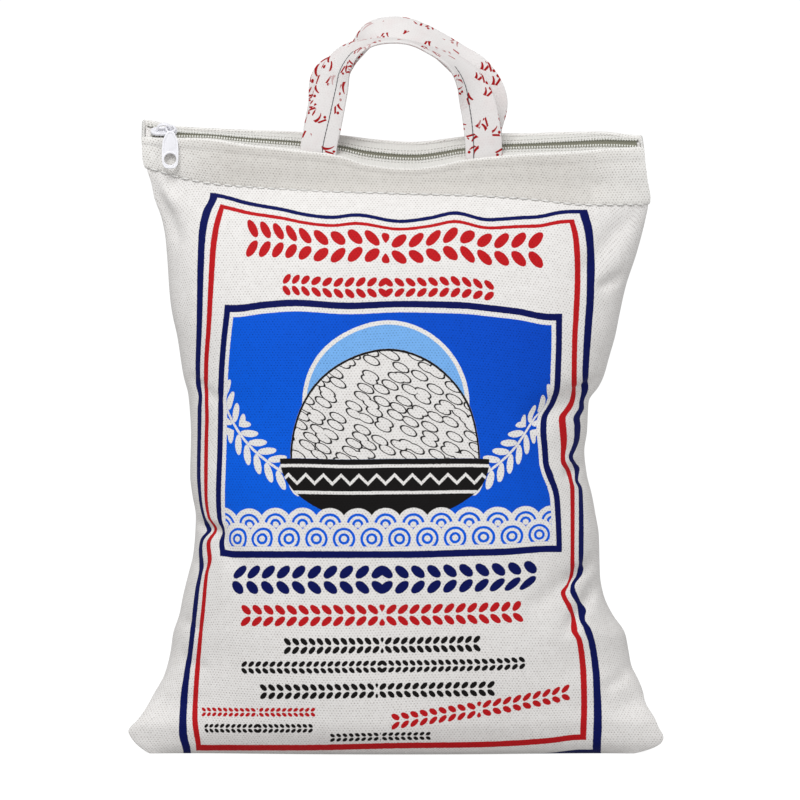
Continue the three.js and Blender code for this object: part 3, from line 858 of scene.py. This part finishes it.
# creases pressed into the cloth: face, start and end as x and height, depth, half width and lean
creases = [
    (-1, (-142, 332), (-122, 306), -2.6, 4.5, 0.0),
    (-1, (-137, 320), (-122, 288), 2.4, 5.0, 0.5),
    (-1, (-119, 214), (-98, 198), 1.5, 3.0, 0.6),
    (-1, (-118, 132), (-98, 126), 4.2, 3.0, 0.7),
    (-1, (-102, 127), (-82, 104), 1.8, 6.0, 0.4),
    (-1, (-118, 111), (-106, 105), 1.4, 3.0, 0.5),
    (-1, (-126, 78), (-108, 70), 1.3, 3.5, 0.8),
    (-1, (-122, 55), (-106, 49), 1.2, 3.5, 0.5),
    (-1, (-143, 23), (-112, 34), 1.8, 6.0, 0.6),
    (-1, (138, 308), (102, 264), 2.2, 6.5, 0.6),
    (-1, (130, 269), (114, 261), 2.6, 3.5, 0.6),
    (-1, (118, 209), (102, 201), 3.2, 3.6, 0.9),
    (-1, (106, 203), (72, 184), 2.6, 7.0, 0.6),
    (-1, (110, 163), (94, 157), 2.6, 3.0, 0.6),
    (-1, (117, 110), (97, 97), 3.0, 3.9, 0.9),
    (-1, (100, 99), (76, 82), 1.6, 6.0, 0.6),
    (-1, (117, 98), (96, 68), 2.6, 4.0, 0.8),
    (-1, (136, 47), (116, 35), 1.6, 4.0, 0.6),
    (-1, (143, 30), (122, 22), 1.0, 4.0, 0.5),
    (1, (-128, 300), (-84, 248), 2.6, 6.0, 0.8),
    (1, (126, 290), (92, 250), 2.4, 6.0, 0.6),
    (1, (-118, 209), (-76, 186), 3.4, 4.5, 1.0),
    (1, (117, 176), (74, 160), 2.6, 5.0, 1.0),
    (1, (118, 130), (96, 124), 3.6, 3.2, 0.7),
    (1, (-117, 110), (-70, 84), 3.4, 4.5, 1.0),
    (1, (128, 74), (80, 60), 1.8, 5.0, 0.7),
]

# creases of the hem
hemCreases = [
    (-1, (-143, 341), (-108, 337), 0.8, 2.6, 0.4),
    (-1, (106, 328), (117, 317), 1.7, 2.8, 0.9),
    (-1, (111, 319), (114, 307), 1.3, 2.6, 0.9),
    (-1, (92, 321), (106, 324), -0.6, 3.0, 0.0),
    (1, (-60, 334), (-96, 338), 0.7, 3.0, 0.4),
    (1, (70, 330), (112, 326), 0.7, 3.0, 0.4),
]


def creasePush(x, z, face, folds):  # how far each place is pushed in by the creases of a face
    total = np.zeros_like(x)
    for side, (x0, z0), (x1, z1), depth, half, lean in folds:
        if side != face:
            continue
        length = math.hypot(x1 - x0, z1 - z0)
        ux, uz = (x1 - x0) / length, (z1 - z0) / length
        t = ((x - x0) * ux + (z - z0) * uz) / length
        q = (-(x - x0) * uz + (z - z0) * ux) / half
        ends = np.clip(np.minimum(t + 0.15, 1.15 - t) / 0.4, 0, 1)
        ends = ends ** 2 * (3 - 2 * ends)
        total += depth * ends * (1 - lean * q) * np.exp(-q ** 2)
    return total


# the depth of the cloth's waves, and the height from which the gathers under the hem fade downwards
waves = {
    "swell": 0.9,
    "roll": 0.5,
    "crinkle": 0.35,
    "fine": 0.1,
    "gather": 0.95,
    "gatherTop": 316,
    "gatherFall": 24,
}


def softWaves(x, z, face):  # slow waves of filled cloth, crinkled at the sides and gathered under the hem
    swell = waves["swell"] * np.sin(x / 31 + 0.4 * face) * np.sin(z / 37 + 1.1)
    roll = waves["roll"] * np.sin(x / 17 + z / 23 + face)
    crinkle = waves["crinkle"] * np.sin(x / 9.5 - z / 7.5 + 2 * face)
    fine = waves["fine"] * np.sin(z / 4.3 + x / 13) * np.sin(z / 19 + face)
    sideways = np.clip(np.abs(x) / 110 - 0.35, 0, 1)
    fall = np.exp(-np.clip(waves["gatherTop"] - z, 0, None) / waves["gatherFall"])
    gathers = waves["gather"] * np.sin(x / 8.3 + 0.6 * np.sin(x / 21)) * fall
    return swell + roll + (crinkle + fine) * sideways + gathers


def makePanel(face):
    rows = panelRows()
    piece, order = newGrid(f"bag_panel_{'front' if face < 0 else 'back'}", bag["columns"], len(rows) - 1)
    across = np.sin(np.linspace(-1, 1, bag["columns"] + 1) * math.pi / 2)
    points = np.zeros((len(rows), bag["columns"] + 1, 3))
    cornerLine = -cornerShift[0][1] * np.abs(across) ** cornerPower
    for k, (kind, value) in enumerate(rows):
        if kind == "under":
            points[k] = clothPoint(across, face, 0.0)
            points[k, :, 1] = cornerLine + (points[k, :, 1] - cornerLine) * value
        elif kind == "main":
            lift = (stitchAt(across, face) - bag["stitchLevel"]) * (value / bag["stitchLevel"]) ** 3
            points[k] = clothPoint(across, face, value + lift)
        elif kind == "neck":
            points[k] = hemPoint(across, face, value, bag["neckInset"])
        else:
            drop = tape["thick"] + bag["mouthDrop"]
            points[k] = mouthPoint(across * bag["mouthReach"], tapeEdge(across, face) * value, -drop)
    for edge in (0, -1):  # both panels meet on the side seam
        points[:, edge, 1] = -along(cornerShift, points[:, edge, 2])
    main = np.array([kind == "main" for kind, value in rows])
    x, z = points[..., 0], points[..., 2]
    push = creasePush(x, z, face, creases) + softWaves(x, z, face)
    fade = np.clip(z / 12, 0, 1) * np.clip((stitchAt(across, face)[None] - z) / 14, 0, 1)
    seamFade = np.clip((1 - np.abs(across)) / 0.06, 0, 1)[None]
    push = push * fade * seamFade * main[:, None]
    points = points - gridNormals(points, face) * push[..., None]

    girth = arcs(points, 1)
    rise = arcs(points, 0)
    middle = bag["columns"] // 2
    baseRow = bag["underRows"]
    weave = np.stack([girth - girth[:, middle:middle + 1], rise - rise[baseRow:baseRow + 1]], axis=-1)
    weave[..., 0] *= -face
    seenX, seenZ = seenFromCamera(points)
    if face < 0:
        wanted = [along(pairs, seenZ) for pairs in linesUp.values()]
        wanted[3:3] = [side + 0 * seenZ for side in pictureSides]
        each = range(len(rows))
        lines = [np.array([np.interp(line[k], seenX[k], girth[k]) for k in each]) for line in wanted]
        u = throughLines(girth, lines, marksAcross)
        v = throughLines(seenZ, [along(linesAcross[name], seenX) for name in linesAcross], marksUp)
    else:
        u = -(girth - girth[:, middle:middle + 1])
        v = points[..., 2] + 0 * u
    below = np.array([kind == "under" for kind, value in rows])
    v[below] = v[baseRow] - (rise[baseRow] - rise[below])
    putGrid(piece, order, points, weave=weave, print=np.stack([u, v], axis=-1))
    return piece


def gridNormals(points, face):  # outward normals of a grid whose columns run from left to right
    sideways = np.gradient(points, axis=1)
    upwards = np.gradient(points, axis=0)
    normal = np.cross(sideways, upwards) * (1.0 if face < 0 else -1.0)
    return normal / np.maximum(np.linalg.norm(normal, axis=-1, keepdims=True), 1e-6)


def makeBody():
    body = joinAll("bag_cloth", [makePanel(-1), makePanel(1)])
    weld(body)
    applyModifier(body, "SUBSURF", levels=1, render_levels=1)
    dress(body, clothMaterial("printedCloth", srgb(*bag["colour"]), printed=True), "bag_cloth", "bag_body")
    print("bag body", len(body.data.polygons), "faces")


# the hem: a doubled band round the mouth with a rounded lip

hem = {"columns": 300, "wall": 2.0, "proud": 0.5, "recess": 1.6, "gap": 0.3}
# the hem's cloth colour is darker than the body's; its lip colour is painted light, a painted highlight on
# the fold at the lip that is also laid over both ends of the band
hemLook = {"colour": (212, 209, 204), "lip": (240, 239, 236), "dotDepth": 0.26, "dotShade": 0.45}
hemRipple = {"slow": 0.28, "fast": 0.16}
hemStitch = {"ends": 0.985, "proud": 0.55, "pitch": 6.2, "length": 4.9, "thick": 1.0}

# the hem's section, as pairs of height share and inset
hemSection = [
    (0.0, -0.1), (0.012, -0.42), (0.05, -0.6), (0.12, -0.62), (0.2, -0.6), (0.3, -0.62), (0.4, -0.62),
    (0.5, -0.6), (0.7, -0.5), (0.74, -0.2), (0.78, -0.45), (0.82, -0.55), (0.87, -0.55), (0.93, -0.45),
    (0.975, -0.1), (0.995, 0.4), (1.0, 0.75), (0.992, 1.1), (0.965, 1.4), (0.9, 1.5), (0.75, 1.5),
    (0.5, 1.5), (0.2, 1.5), (0.0, 1.5),
]


def aroundPlaces(columns):  # places round the bag: left to right in front, back behind, to the start
    half = columns // 2
    across = np.sin(np.linspace(-1, 1, half + 1) * math.pi / 2)
    faces = np.repeat([-1, 1, -1], [half + 1, half + 1, 1])
    return np.concatenate([across, across[::-1], across[:1]]), faces


def makeHem():
    across, faces = aroundPlaces(hem["columns"])
    piece, order = newGrid("top_band", hem["columns"] + 2, len(hemSection))
    section = hemSection + hemSection[:1]
    points = np.zeros((len(section), len(across), 3))
    for k, (share, inset) in enumerate(section):
        front = hemPoint(across, -1, share, inset)
        back = hemPoint(across, 1, share, inset)
        points[k] = np.where(faces[:, None] < 0, front, back)
    run = arcs(points[:1], 1)[0]
    ripple = hemRipple["slow"] * np.sin(run / 6.3) * np.sin(run / 17.1 + 1)
    ripple = ripple + hemRipple["fast"] * np.sin(run / 2.9)
    outer = np.array([inset < 0.2 for share, inset in section])
    share = np.array([pair[0] for pair in section])
    sway = np.where(outer, np.sin(np.pi * np.clip(share, 0, 1)) ** 0.5, 0.0)
    for face in (-1, 1):
        here = (faces[None] == face) * sway[:, None]
        folds = creasePush(points[..., 0], points[..., 2], face, hemCreases)
        points[..., 1] += face * here * (ripple[None] - folds)
    girth = arcs(points, 1)
    rise = arcs(points, 0)
    band = np.stack(np.broadcast_arrays(run[None], share[:, None]), axis=-1)
    putGrid(piece, order, points, weave=np.stack([girth - girth[:, :1], rise], axis=-1), band=band)
    weld(piece)
    hemCloth = clothMaterial(
        "hemCloth", srgb(*hemLook["colour"]), dotDepth=hemLook["dotDepth"], dotShade=hemLook["dotShade"],
        highlightColour=srgb(*hemLook["lip"]),
    )
    dress(piece, hemCloth, "hem_cloth", "top_hem")
    print("hem ready")


# stitches and teeth: one small form, copied along a line

def smallForm(name, segments, rings):
    deselectAll()
    bpy.ops.mesh.primitive_uv_sphere_add(segments=segments, ring_count=rings, radius=1)
    form = bpy.context.object
    form.name = name
    points = meshPoints(form)
    faces = [tuple(face.vertices) for face in form.data.polygons]
    bpy.data.objects.remove(form)
    return points, faces


def copiesOf(form, name, frames):  # frames: middle and three half axes for each copy, in millimetres
    points, faces = form
    allPoints = np.concatenate([middle + points @ np.array(axes) for middle, axes in frames]) * mm
    starts = range(0, len(frames) * len(points), len(points))
    allFaces = [tuple(index + start for index in face) for start in starts for face in faces]
    mesh = bpy.data.meshes.new(name)
    mesh.from_pydata(allPoints.tolist(), [], allFaces)
    piece = bpy.data.objects.new(name, mesh)
    bpy.context.collection.objects.link(piece)
    return piece


def evenSteps(points, pitch):  # middles and directions at even steps along a line of points
    steps = np.linalg.norm(np.diff(points, axis=0), axis=1)
    run = np.concatenate([[0], np.cumsum(steps)])
    places = np.arange(pitch / 2, run[-1], pitch)
    middles = np.stack([np.interp(places, run, points[:, k]) for k in range(3)], axis=-1)
    ahead = np.stack([np.interp(places + 0.2, run, points[:, k]) for k in range(3)], axis=-1)
    behind = np.stack([np.interp(places - 0.2, run, points[:, k]) for k in range(3)], axis=-1)
    direction = ahead - behind
    return middles, direction / np.linalg.norm(direction, axis=1, keepdims=True)


def stitchFrames(points, outwards, pitch, length, thick):
    frames = []
    for middle, ahead in zip(*evenSteps(points, pitch)):
        out = np.array(outwards, float)
        out -= ahead * out.dot(ahead)
        out /= np.linalg.norm(out)
        side = np.cross(out, ahead)
        slant = side * random.uniform(-0.12, 0.12) * thick
        axes = (ahead * length / 2 + slant, side * thick / 2, out * thick / 2)
        frames.append((middle, axes))
    return frames


def makeHemStitches():
    across = np.linspace(-hemStitch["ends"], hemStitch["ends"], hem["columns"])
    frames = []
    for face in (-1, 1):
        low = hemPoint(across, face, 0.0, -hemStitch["proud"])
        sizes = (hemStitch["pitch"], hemStitch["length"], hemStitch["thick"])
        frames += stitchFrames(low, (0, face, -0.3), *sizes)
    piece = copiesOf(smallForm("stitch", 8, 6), "hem_stitches", frames)
    dress(piece, threadMaterial("hemThread", srgb(242, 241, 238)), "hem_cloth")
    print("hem stitches", len(frames))


# the zip: two tapes, two rows of teeth over a dark sheet of painted shade in the gap between them, slider and
# pull

tape = {
    "thick": 1.0,
    "columns": 220,
    "ribs": 14,
    "bulge": 0.25,
    "tuck": 0.5,
    "chainHalf": 3.5,
    "chainColumns": 400,
    # how far the sheet of painted shade in the gap lies below the mouth plane
    "gapShadeDrop": 0.1,
    "ends": (-0.992, 0.992),
    "chainEnds": (-0.974, 0.986),
}
tooth = {"pitch": 1.5, "gap": 1.45, "length": 2.2, "thick": 1.05, "high": 1.6, "lift": 0.35}


def makeTape(face):
    name = "front" if face < 0 else "back"
    across = np.linspace(*tape["ends"], tape["columns"])
    shares = np.linspace(0, 1, tape["ribs"] + 1)
    places = [(share, tape["bulge"] * math.sin(math.pi * share)) for share in shares]
    places += [(share, -tape["thick"]) for share in shares[::-1]]
    piece, order = newGrid(f"zip_cloth_{name}", len(across) - 1, len(places))
    wall, chain = tapeEdge(across, face), face * (tape["chainHalf"] - tape["tuck"])
    rows = [mouthPoint(across, chain + (wall - chain) * share, lift) for share, lift in places]
    points = np.array(rows + rows[:1])
    rise = arcs(points, 0)
    run = arcs(points, 1)
    putGrid(piece, order, points, weave=np.stack([run, rise], axis=-1))
    weld(piece)
    closeHoles(piece)
    dress(piece, zipTapeLook, "zip_tape", f"zip_tape_{name}")


def closeHoles(piece):  # a face over each open end
    only(piece)
    bpy.ops.object.mode_set(mode="EDIT")
    bpy.ops.mesh.select_mode(type="VERT")
    bpy.ops.mesh.select_all(action="DESELECT")
    bpy.ops.mesh.select_non_manifold()
    bpy.ops.mesh.edge_face_add()
    bpy.ops.mesh.select_all(action="SELECT")
    bpy.ops.mesh.normals_make_consistent(inside=False)
    bpy.ops.object.mode_set(mode="OBJECT")


def makeTeeth():
    across = np.linspace(*tape["chainEnds"], tape["chainColumns"])
    frames = []
    for face in (-1, 1):
        y = face * (tooth["gap"] + tooth["length"] / 2)
        line = mouthPoint(across, np.full_like(across, y), tooth["lift"])
        if face > 0:
            line = line + (line[1] - line[0]) / np.linalg.norm(line[1] - line[0]) * tooth["pitch"] / 2
        for middle, ahead in zip(*evenSteps(line, tooth["pitch"])):
            side = np.array([0.0, face, 0.0])
            up = np.cross(ahead, side) * face
            up = up if up[2] > 0 else -up
            axes = (ahead * tooth["thick"] / 2, side * tooth["length"] / 2, up * tooth["high"] / 2)
            frames.append((middle, axes))
    teeth = copiesOf(smallForm("tooth", 8, 6), "zip_teeth", frames)
    dress(teeth, plasticMaterial("coilNylon", srgb(233, 233, 228)), "zip_teeth", "zip_chain")

    # painted shade: a dark sheet under the teeth that shows as the shaded gap between the two rows
    gapShade, order = newGrid("zip_gap_shade", len(across) - 1, 4)
    wide, top, base = tape["chainHalf"], -tape["gapShadeDrop"], -tape["thick"]
    corners = [(-wide, top), (wide, top), (wide, base), (-wide, base), (-wide, top)]
    putGrid(gapShade, order, np.array([mouthPoint(across, np.full_like(across, y), lift) for y, lift in corners]))
    weld(gapShade)
    closeHoles(gapShade)
    dress(gapShade, threadMaterial("zipGapShade", srgb(136, 135, 118)), "zip_teeth")
    print("teeth", len(frames))

# the slider, and the pull that hangs from its arch over the front lip
slider = {
    "at": -131.6,
    "forward": 1.4,
    "room": 1.6,
    "tilt": 29.0,
    "length": 15.0,
    "width": 9.0,
    "plate": 1.5,
    "rim": 0.9,
    "recess": 0.35,
    "archHalf": 3.9,
    "archHigh": 4.2,
    "archSunk": 0.4,
    "archWide": 2.6,
    "archThick": 1.5,
    "bevel": 0.22,
}
pull = {
    "length": 20.0,
    "over": 1.5,
    "topWide": 8.4,
    "endWide": 10.0,
    "neckWide": 0.72,
    "neckLong": 0.3,
    "thick": 1.6,
    "rim": 0.95,
    "recess": 0.4,
    "holeRadius": 3.5,
    "holeRim": 0.62,
    "hang": 11.0,
    "reach": 2.8,
    "lift": 0.6,
    "loopHalf": 2.5,
    "loopLong": 3.6,
    "loopAt": -1.2,
    "wire": 1.25,
    "bevel": 0.16,
}


def zipEndFrame():  # the slider's seat: origin and the turn about x
    at = slider["at"] / leftEdge[-1][1]
    seat = mouthPoint(np.array([at]), np.array([-slider["forward"]]), slider["room"])[0]
    return Vector((slider["at"], seat[1], seat[2])) * mm, math.radians(slider["tilt"])


def roundedPlate(name, halfLong, halfWide, thick, vertices=48, power=3.0):  # its outline is a superellipse
    deselectAll()
    bpy.ops.mesh.primitive_cylinder_add(vertices=vertices, radius=1, depth=thick * mm)
    plate = bpy.context.object
    plate.name = plate.data.name = name
    points = meshPoints(plate)
    turn = np.arctan2(points[:, 1], points[:, 0])
    for axis, wave, half in ((0, np.cos(turn), halfLong), (1, np.sin(turn), halfWide)):
        points[:, axis] = np.sign(wave) * np.abs(wave) ** (2 / power) * half * mm
    setPoints(plate, points)
    return plate


def recessTop(plate, rim, depth):  # insets the upper face and presses it in
    only(plate)
    bpy.ops.object.mode_set(mode="EDIT")
    bpy.ops.mesh.select_mode(type="FACE")
    bpy.ops.mesh.select_all(action="DESELECT")
    bpy.ops.object.mode_set(mode="OBJECT")
    for face in plate.data.polygons:
        face.select = face.normal.z > 0.9
    bpy.ops.object.mode_set(mode="EDIT")
    bpy.ops.mesh.inset(thickness=rim * mm, depth=0)
    bpy.ops.mesh.inset(thickness=0.3 * mm, depth=-depth * mm)
    bpy.ops.object.mode_set(mode="OBJECT")


def sweep(name, path, level, wide, thick, around):  # an oval section along a line of points, square to level
    piece, order = newGrid(name, around, len(path) - 1)
    turn = np.linspace(0, 2 * math.pi, around + 1)
    ahead = np.gradient(path, axis=0)
    ahead /= np.linalg.norm(ahead, axis=1, keepdims=True)
    points = np.zeros((len(path), around + 1, 3))
    for k, middle in enumerate(path):
        out = np.cross(ahead[k], level)
        section = np.outer(np.cos(turn), level) * wide / 2 + np.outer(np.sin(turn), out) * thick / 2
        points[k] = middle + section
    putGrid(piece, order, points)
    weld(piece)
    closeHoles(piece)
    return piece


def placeZipEnd(piece, shift):  # moves a piece made at the origin to the slider's seat
    origin, tilt = zipEndFrame()
    turned = Matrix.Rotation(tilt, 4, "X") @ Matrix.Translation(Vector(shift) * mm)
    piece.data.transform(Matrix.Translation(origin) @ turned)


def roundEdges(piece, width, angle):  # rounds the edges that turn by more than the angle in degrees
    limit = math.radians(angle)
    applyModifier(piece, "BEVEL", width=width * mm, segments=2, limit_method="ANGLE", angle_limit=limit)


def makeSlider():
    plate = roundedPlate("plate", slider["length"] / 2, slider["width"] / 2, slider["plate"])
    recessTop(plate, slider["rim"], slider["recess"])
    plate.location.z = slider["plate"] / 2 * mm
    settle(plate)
    turn = np.linspace(0, math.pi, 25)
    rise = slider["plate"] - slider["archSunk"] + slider["archHigh"] * np.sin(turn) ** 0.8
    path = np.stack([-slider["archHalf"] * np.cos(turn), 0 * turn, rise], axis=-1)
    arch = sweep("arch", path, (0.0, 1.0, 0.0), slider["archWide"], slider["archThick"], 16)
    piece = joinAll("zip_slider_body", [plate, arch])
    roundEdges(piece, slider["bevel"], 40)
    placeZipEnd(piece, (0, 0, 0))
    dress(piece, enamel, "slider_plastic", "zip_slider", smoothAngle=50)


def makeTab():  # the pull's plate, narrower at its neck, with a rimmed round hole at its end
    long = pull["length"] + pull["over"]
    tab = roundedPlate("tab", pull["topWide"] / 2, long / 2, pull["thick"], vertices=56, power=3.4)
    points = meshPoints(tab)
    share = np.clip(0.5 - points[:, 1] / (long * mm), 0, 1)
    neck = np.clip(share / pull["neckLong"], 0, 1)
    narrow = pull["neckWide"] + (1 - pull["neckWide"]) * neck ** 2 * (3 - 2 * neck)
    points[:, 0] *= narrow * (1 + (pull["endWide"] / pull["topWide"] - 1) * share)
    points[:, 1] -= (long / 2 - pull["over"]) * mm
    setPoints(tab, points)
    recessTop(tab, pull["rim"], pull["recess"])
    hole, radius = pull["endWide"] / 2 + 0.3 - pull["length"], pull["holeRadius"]
    deselectAll()
    bpy.ops.mesh.primitive_cylinder_add(
        vertices=40, radius=radius * mm, depth=6 * mm, location=(0, hole * mm, 0))
    drill = bpy.context.object
    applyModifier(tab, "BOOLEAN", operation="DIFFERENCE", object=drill, solver="EXACT")
    bpy.data.objects.remove(drill)
    deselectAll()
    bpy.ops.mesh.primitive_torus_add(
        major_radius=(radius + 0.45) * mm, minor_radius=pull["holeRim"] * mm, major_segments=40,
        minor_segments=10, location=(0, hole * mm, 0.32 * mm))
    tab = joinAll("tabFull", [tab, bpy.context.object])
    settle(tab)
    return tab


def makePull():
    tab = makeTab()
    bend = Vector((0, -slider["width"] / 2 - pull["reach"], pull["thick"] / 2)) * mm
    turned = math.radians(90 - slider["tilt"] - pull["hang"])
    tab.data.transform(Matrix.Translation(bend) @ Matrix.Rotation(turned, 4, "X"))
    turn = np.linspace(0.12 * math.pi, 1.88 * math.pi, 41)
    away = pull["loopAt"] - pull["loopLong"] * np.cos(turn)
    loop = np.stack([pull["loopHalf"] * np.sin(turn), away, 0 * turn + pull["thick"] / 2], axis=-1)
    ring = sweep("ring", loop, (0.0, 0.0, 1.0), pull["wire"], pull["wire"], 12)
    piece = joinAll("zip_pull_tab", [tab, ring])
    roundEdges(piece, pull["bevel"], 45)
    placeZipEnd(piece, (slider["archHalf"], 0, slider["plate"] + pull["lift"]))
    dress(piece, enamel, "pull_plastic", "zip_pull", smoothAngle=50)
    print("slider and pull ready")


# the handles: folded bands that stand up from the mouth and turn over at the top

handle = {
    "wide": 21.0,
    "thick": 2.2,
    "rows": 150,
    "columns": 30,
    "cup": 0.5,
    "cupRun": 13.0,
    "cupAcross": 7.5,
    "backShift": 60.0,
    "seam": (0.22, 0.6),
    "seamEnds": (0.36, 0.65),
    "seamRows": 4,
    "stitchPitch": 2.3,
    "stitchLong": 3.1,
    "stitchThick": 0.55,
}

# each band's middle line: x, y, height and the turn of its width in degrees
frontHandlePath = [
    (-44.3, -9.9, 327, 8), (-43.9, -9.9, 341, 10), (-40.5, -10, 357, 16), (-37, -10.2, 373, 26),
    (-33.5, -10.6, 386, 42), (-25, -11, 396, 62), (-11, -11.2, 400.8, 80), (6, -11.2, 400.4, 84),
    (20, -11, 395.5, 78), (33.5, -10.6, 388.5, 62), (41.8, -10.3, 378, 40), (46.3, -10, 364, 14),
    (48.8, -9.9, 348, 6), (49.4, -9.9, 336, 8), (49.6, -9.9, 323, 8),
]
backHandlePath = [
    (-43, 10.1, 336, 0), (-42.5, 10.1, 350, 0), (-39.7, 10.3, 366, 4), (-38.3, 10.6, 381, 16),
    (-24.6, 10.8, 394.6, 66), (-13.3, 11, 407.2, 54), (3, 11, 409, 50), (18, 11, 403.5, 50),
    (33, 10.8, 393.5, 40), (46, 10.6, 382, 12), (52.6, 10.4, 368, 0), (49.4, 10.1, 352, 0),
    (49.5, 10.1, 335, 0),
]


def catmullRom(points, shares):  # the centripetal curve through the points, as the solids have it
    points = np.array(points, float)
    last = len(points) - 1
    placed = []
    for share in shares:
        spot = min(share * last, last - 1e-9)
        k = int(spot)
        w = spot - k
        p1, p2 = points[k], points[k + 1]
        p0 = points[k - 1] if k > 0 else 2 * p1 - p2
        p3 = points[k + 2] if k + 2 <= last else 2 * p2 - p1
        d0, d1, d2 = (max(np.linalg.norm(b - a), 1e-4) ** 0.5 for a, b in ((p0, p1), (p1, p2), (p2, p3)))
        t1 = ((p1 - p0) / d0 - (p2 - p0) / (d0 + d1) + (p2 - p1) / d1) * d1
        t2 = ((p2 - p1) / d1 - (p3 - p1) / (d1 + d2) + (p3 - p2) / d2) * d1
        c2 = -3 * p1 + 3 * p2 - 2 * t1 - t2
        c3 = 2 * p1 - 2 * p2 + t1 + t2
        placed.append(p1 + t1 * w + c2 * w ** 2 + c3 * w ** 3)
    return np.array(placed)


def handleFrames(path, count):
    shares = np.linspace(0, 1, count + 1)
    centres = catmullRom([point[:3] for point in path], shares)
    ahead = np.gradient(centres, axis=0)
    ahead[:, 1] = 0
    ahead /= np.linalg.norm(ahead, axis=1, keepdims=True)
    outwards = np.stack([-ahead[:, 2], 0 * shares, ahead[:, 0]], axis=-1)
    turns = [(k / (len(path) - 1), point[3]) for k, point in enumerate(path)]
    twist = np.radians(along(turns, shares))[:, None]
    wide = outwards * np.cos(twist) + np.array([0.0, 1.0, 0.0]) * np.sin(twist)
    return centres, wide, np.cross(ahead, wide)


def makeHandle(path, name):
    rows, half = handle["rows"], handle["columns"] // 2
    piece, order = newGrid(f"{name}_band", 2 * half, rows)
    centres, wide, through = handleFrames(path, rows)
    turn = np.linspace(0, 2 * math.pi, 2 * half + 1)
    across = np.sign(np.cos(turn)) * np.abs(np.cos(turn)) ** 0.6 * handle["wide"] / 2
    thickness = np.sign(np.sin(turn)) * np.abs(np.sin(turn)) ** 0.35 * handle["thick"] / 2
    run = np.concatenate([[0], np.cumsum(np.linalg.norm(np.diff(centres, axis=0), axis=1))])
    wave = handle["cup"] * np.sin(run / handle["cupRun"])
    nudge = thickness[None] + wave[:, None] * np.cos(across / handle["cupAcross"])[None]
    points = centres[:, None] + wide[:, None] * across[None, :, None] + through[:, None] * nudge[..., None]
    behind = handle["backShift"] * (turn > math.pi)
    weave = np.stack(np.broadcast_arrays((across + behind)[None], run[:, None]), axis=-1)
    putGrid(piece, order, points, weave=weave)
    weld(piece)
    closeHoles(piece)
    dress(piece, handleLook, "handle_cloth", name)

    seamAt = -np.linspace(*handle["seam"], rows + 1) * handle["wide"] / 2
    firstEnd, secondStart = (int(share * rows) for share in handle["seamEnds"])
    cupHere = wave * np.cos(seamAt / handle["cupAcross"])
    sizes = (handle["stitchPitch"], handle["stitchLong"], handle["stitchThick"])
    frames = []
    for side in (-1, 1):
        level = (side * (handle["thick"] / 2 + 0.02) + cupHere)[:, None]
        line = centres + wide * seamAt[:, None] + through * level
        for leg in (line[handle["seamRows"]:firstEnd], line[secondStart:-handle["seamRows"]]):
            frames += stitchFrames(leg, through[0] * side, *sizes)
    stitches = copiesOf(smallForm("stitch", 8, 6), f"{name}_stitches", frames)
    dress(stitches, threadMaterial(f"{name}Thread", srgb(66, 66, 70)), "handle_cloth")
    print(name, "ready")


random.seed(5)
zipTapeLook = tapeMaterial()
handleLook = handleMaterial()
enamel = plasticMaterial("whiteEnamel", srgb(236, 236, 241))

makeBody()
makeHem()
makeHemStitches()
makeTape(-1)
makeTape(1)
makeTeeth()
makeSlider()
makePull()
makeHandle(frontHandlePath, "handle_front")
makeHandle(backHandlePath, "handle_back")


# floor, lights and camera

def areaLight(name, place, aim, size, power):
    data = bpy.data.lights.new(name, "AREA")
    data.size = size
    data.energy = power
    lamp = bpy.data.objects.new(name, data)
    bpy.context.collection.objects.link(lamp)
    lamp.location = place
    lamp.rotation_euler = (Vector(aim) - Vector(place)).to_track_quat("-Z", "Y").to_euler()


def seenOrNot(tree, seen, light):  # one strength for the camera and another for the light on the bag
    rays = addNode(tree, "LightPath", {}).outputs["Is Camera Ray"]
    return spread(tree, rays, 0.0, 1.0, light, seen)


def makeFloor():
    deselectAll()
    bpy.ops.mesh.primitive_plane_add(size=2 * view["floorHalf"])
    floor = bpy.context.object
    floor.name = "floor"
    material, tree, shader = newMaterial("paleFloor")
    shader.inputs["Base Color"].default_value = (0.32, 0.32, 0.32, 1)
    shader.inputs["Roughness"].default_value = 0.95
    shader.inputs["Specular IOR Level"].default_value = 0.0
    shader.inputs["Emission Color"].default_value = (1, 1, 1, 1)
    wire(tree, seenOrNot(tree, view["floorSeen"], view["floorLight"]), shader.inputs["Emission Strength"])
    floor.data.materials.append(material)


def makeWorld():  # white where the camera sees it, softer where it lights the bag
    world = bpy.data.worlds.new("studio")
    bpy.context.scene.world = world
    world.use_nodes = True
    tree = world.node_tree
    background = tree.nodes["Background"]
    background.inputs["Color"].default_value = (1, 1, 1, 1)
    wire(tree, seenOrNot(tree, view["worldSeen"], view["worldLight"]), background.inputs["Strength"])


def makeCamera():
    data = bpy.data.cameras.new("camera")
    data.sensor_width = 36.0
    data.lens = view["lens"]
    data.clip_end = 100.0
    camera = bpy.data.objects.new("camera", data)
    bpy.context.collection.objects.link(camera)
    aim = Vector((view["aimX"], 0, view["aimZ"])) * mm
    tilt = math.radians(view["elevation"])
    camera.location = aim + Vector((0, -math.cos(tilt), math.sin(tilt))) * view["distance"] * mm
    camera.rotation_euler = (aim - camera.location).to_track_quat("-Z", "Y").to_euler()
    bpy.context.scene.camera = camera


makeFloor()
makeWorld()
areaLight("keyLight", (-0.4, -1.3, 1.65), (0, 0, 0.25), 0.9, view["keyPower"])
areaLight("fillLight", (1.6, -1.9, 0.7), (0, 0, 0.2), 1.4, view["fillPower"])
makeCamera()
bpy.context.scene.view_settings.view_transform = "Standard"
print("stage, lights and camera ready")
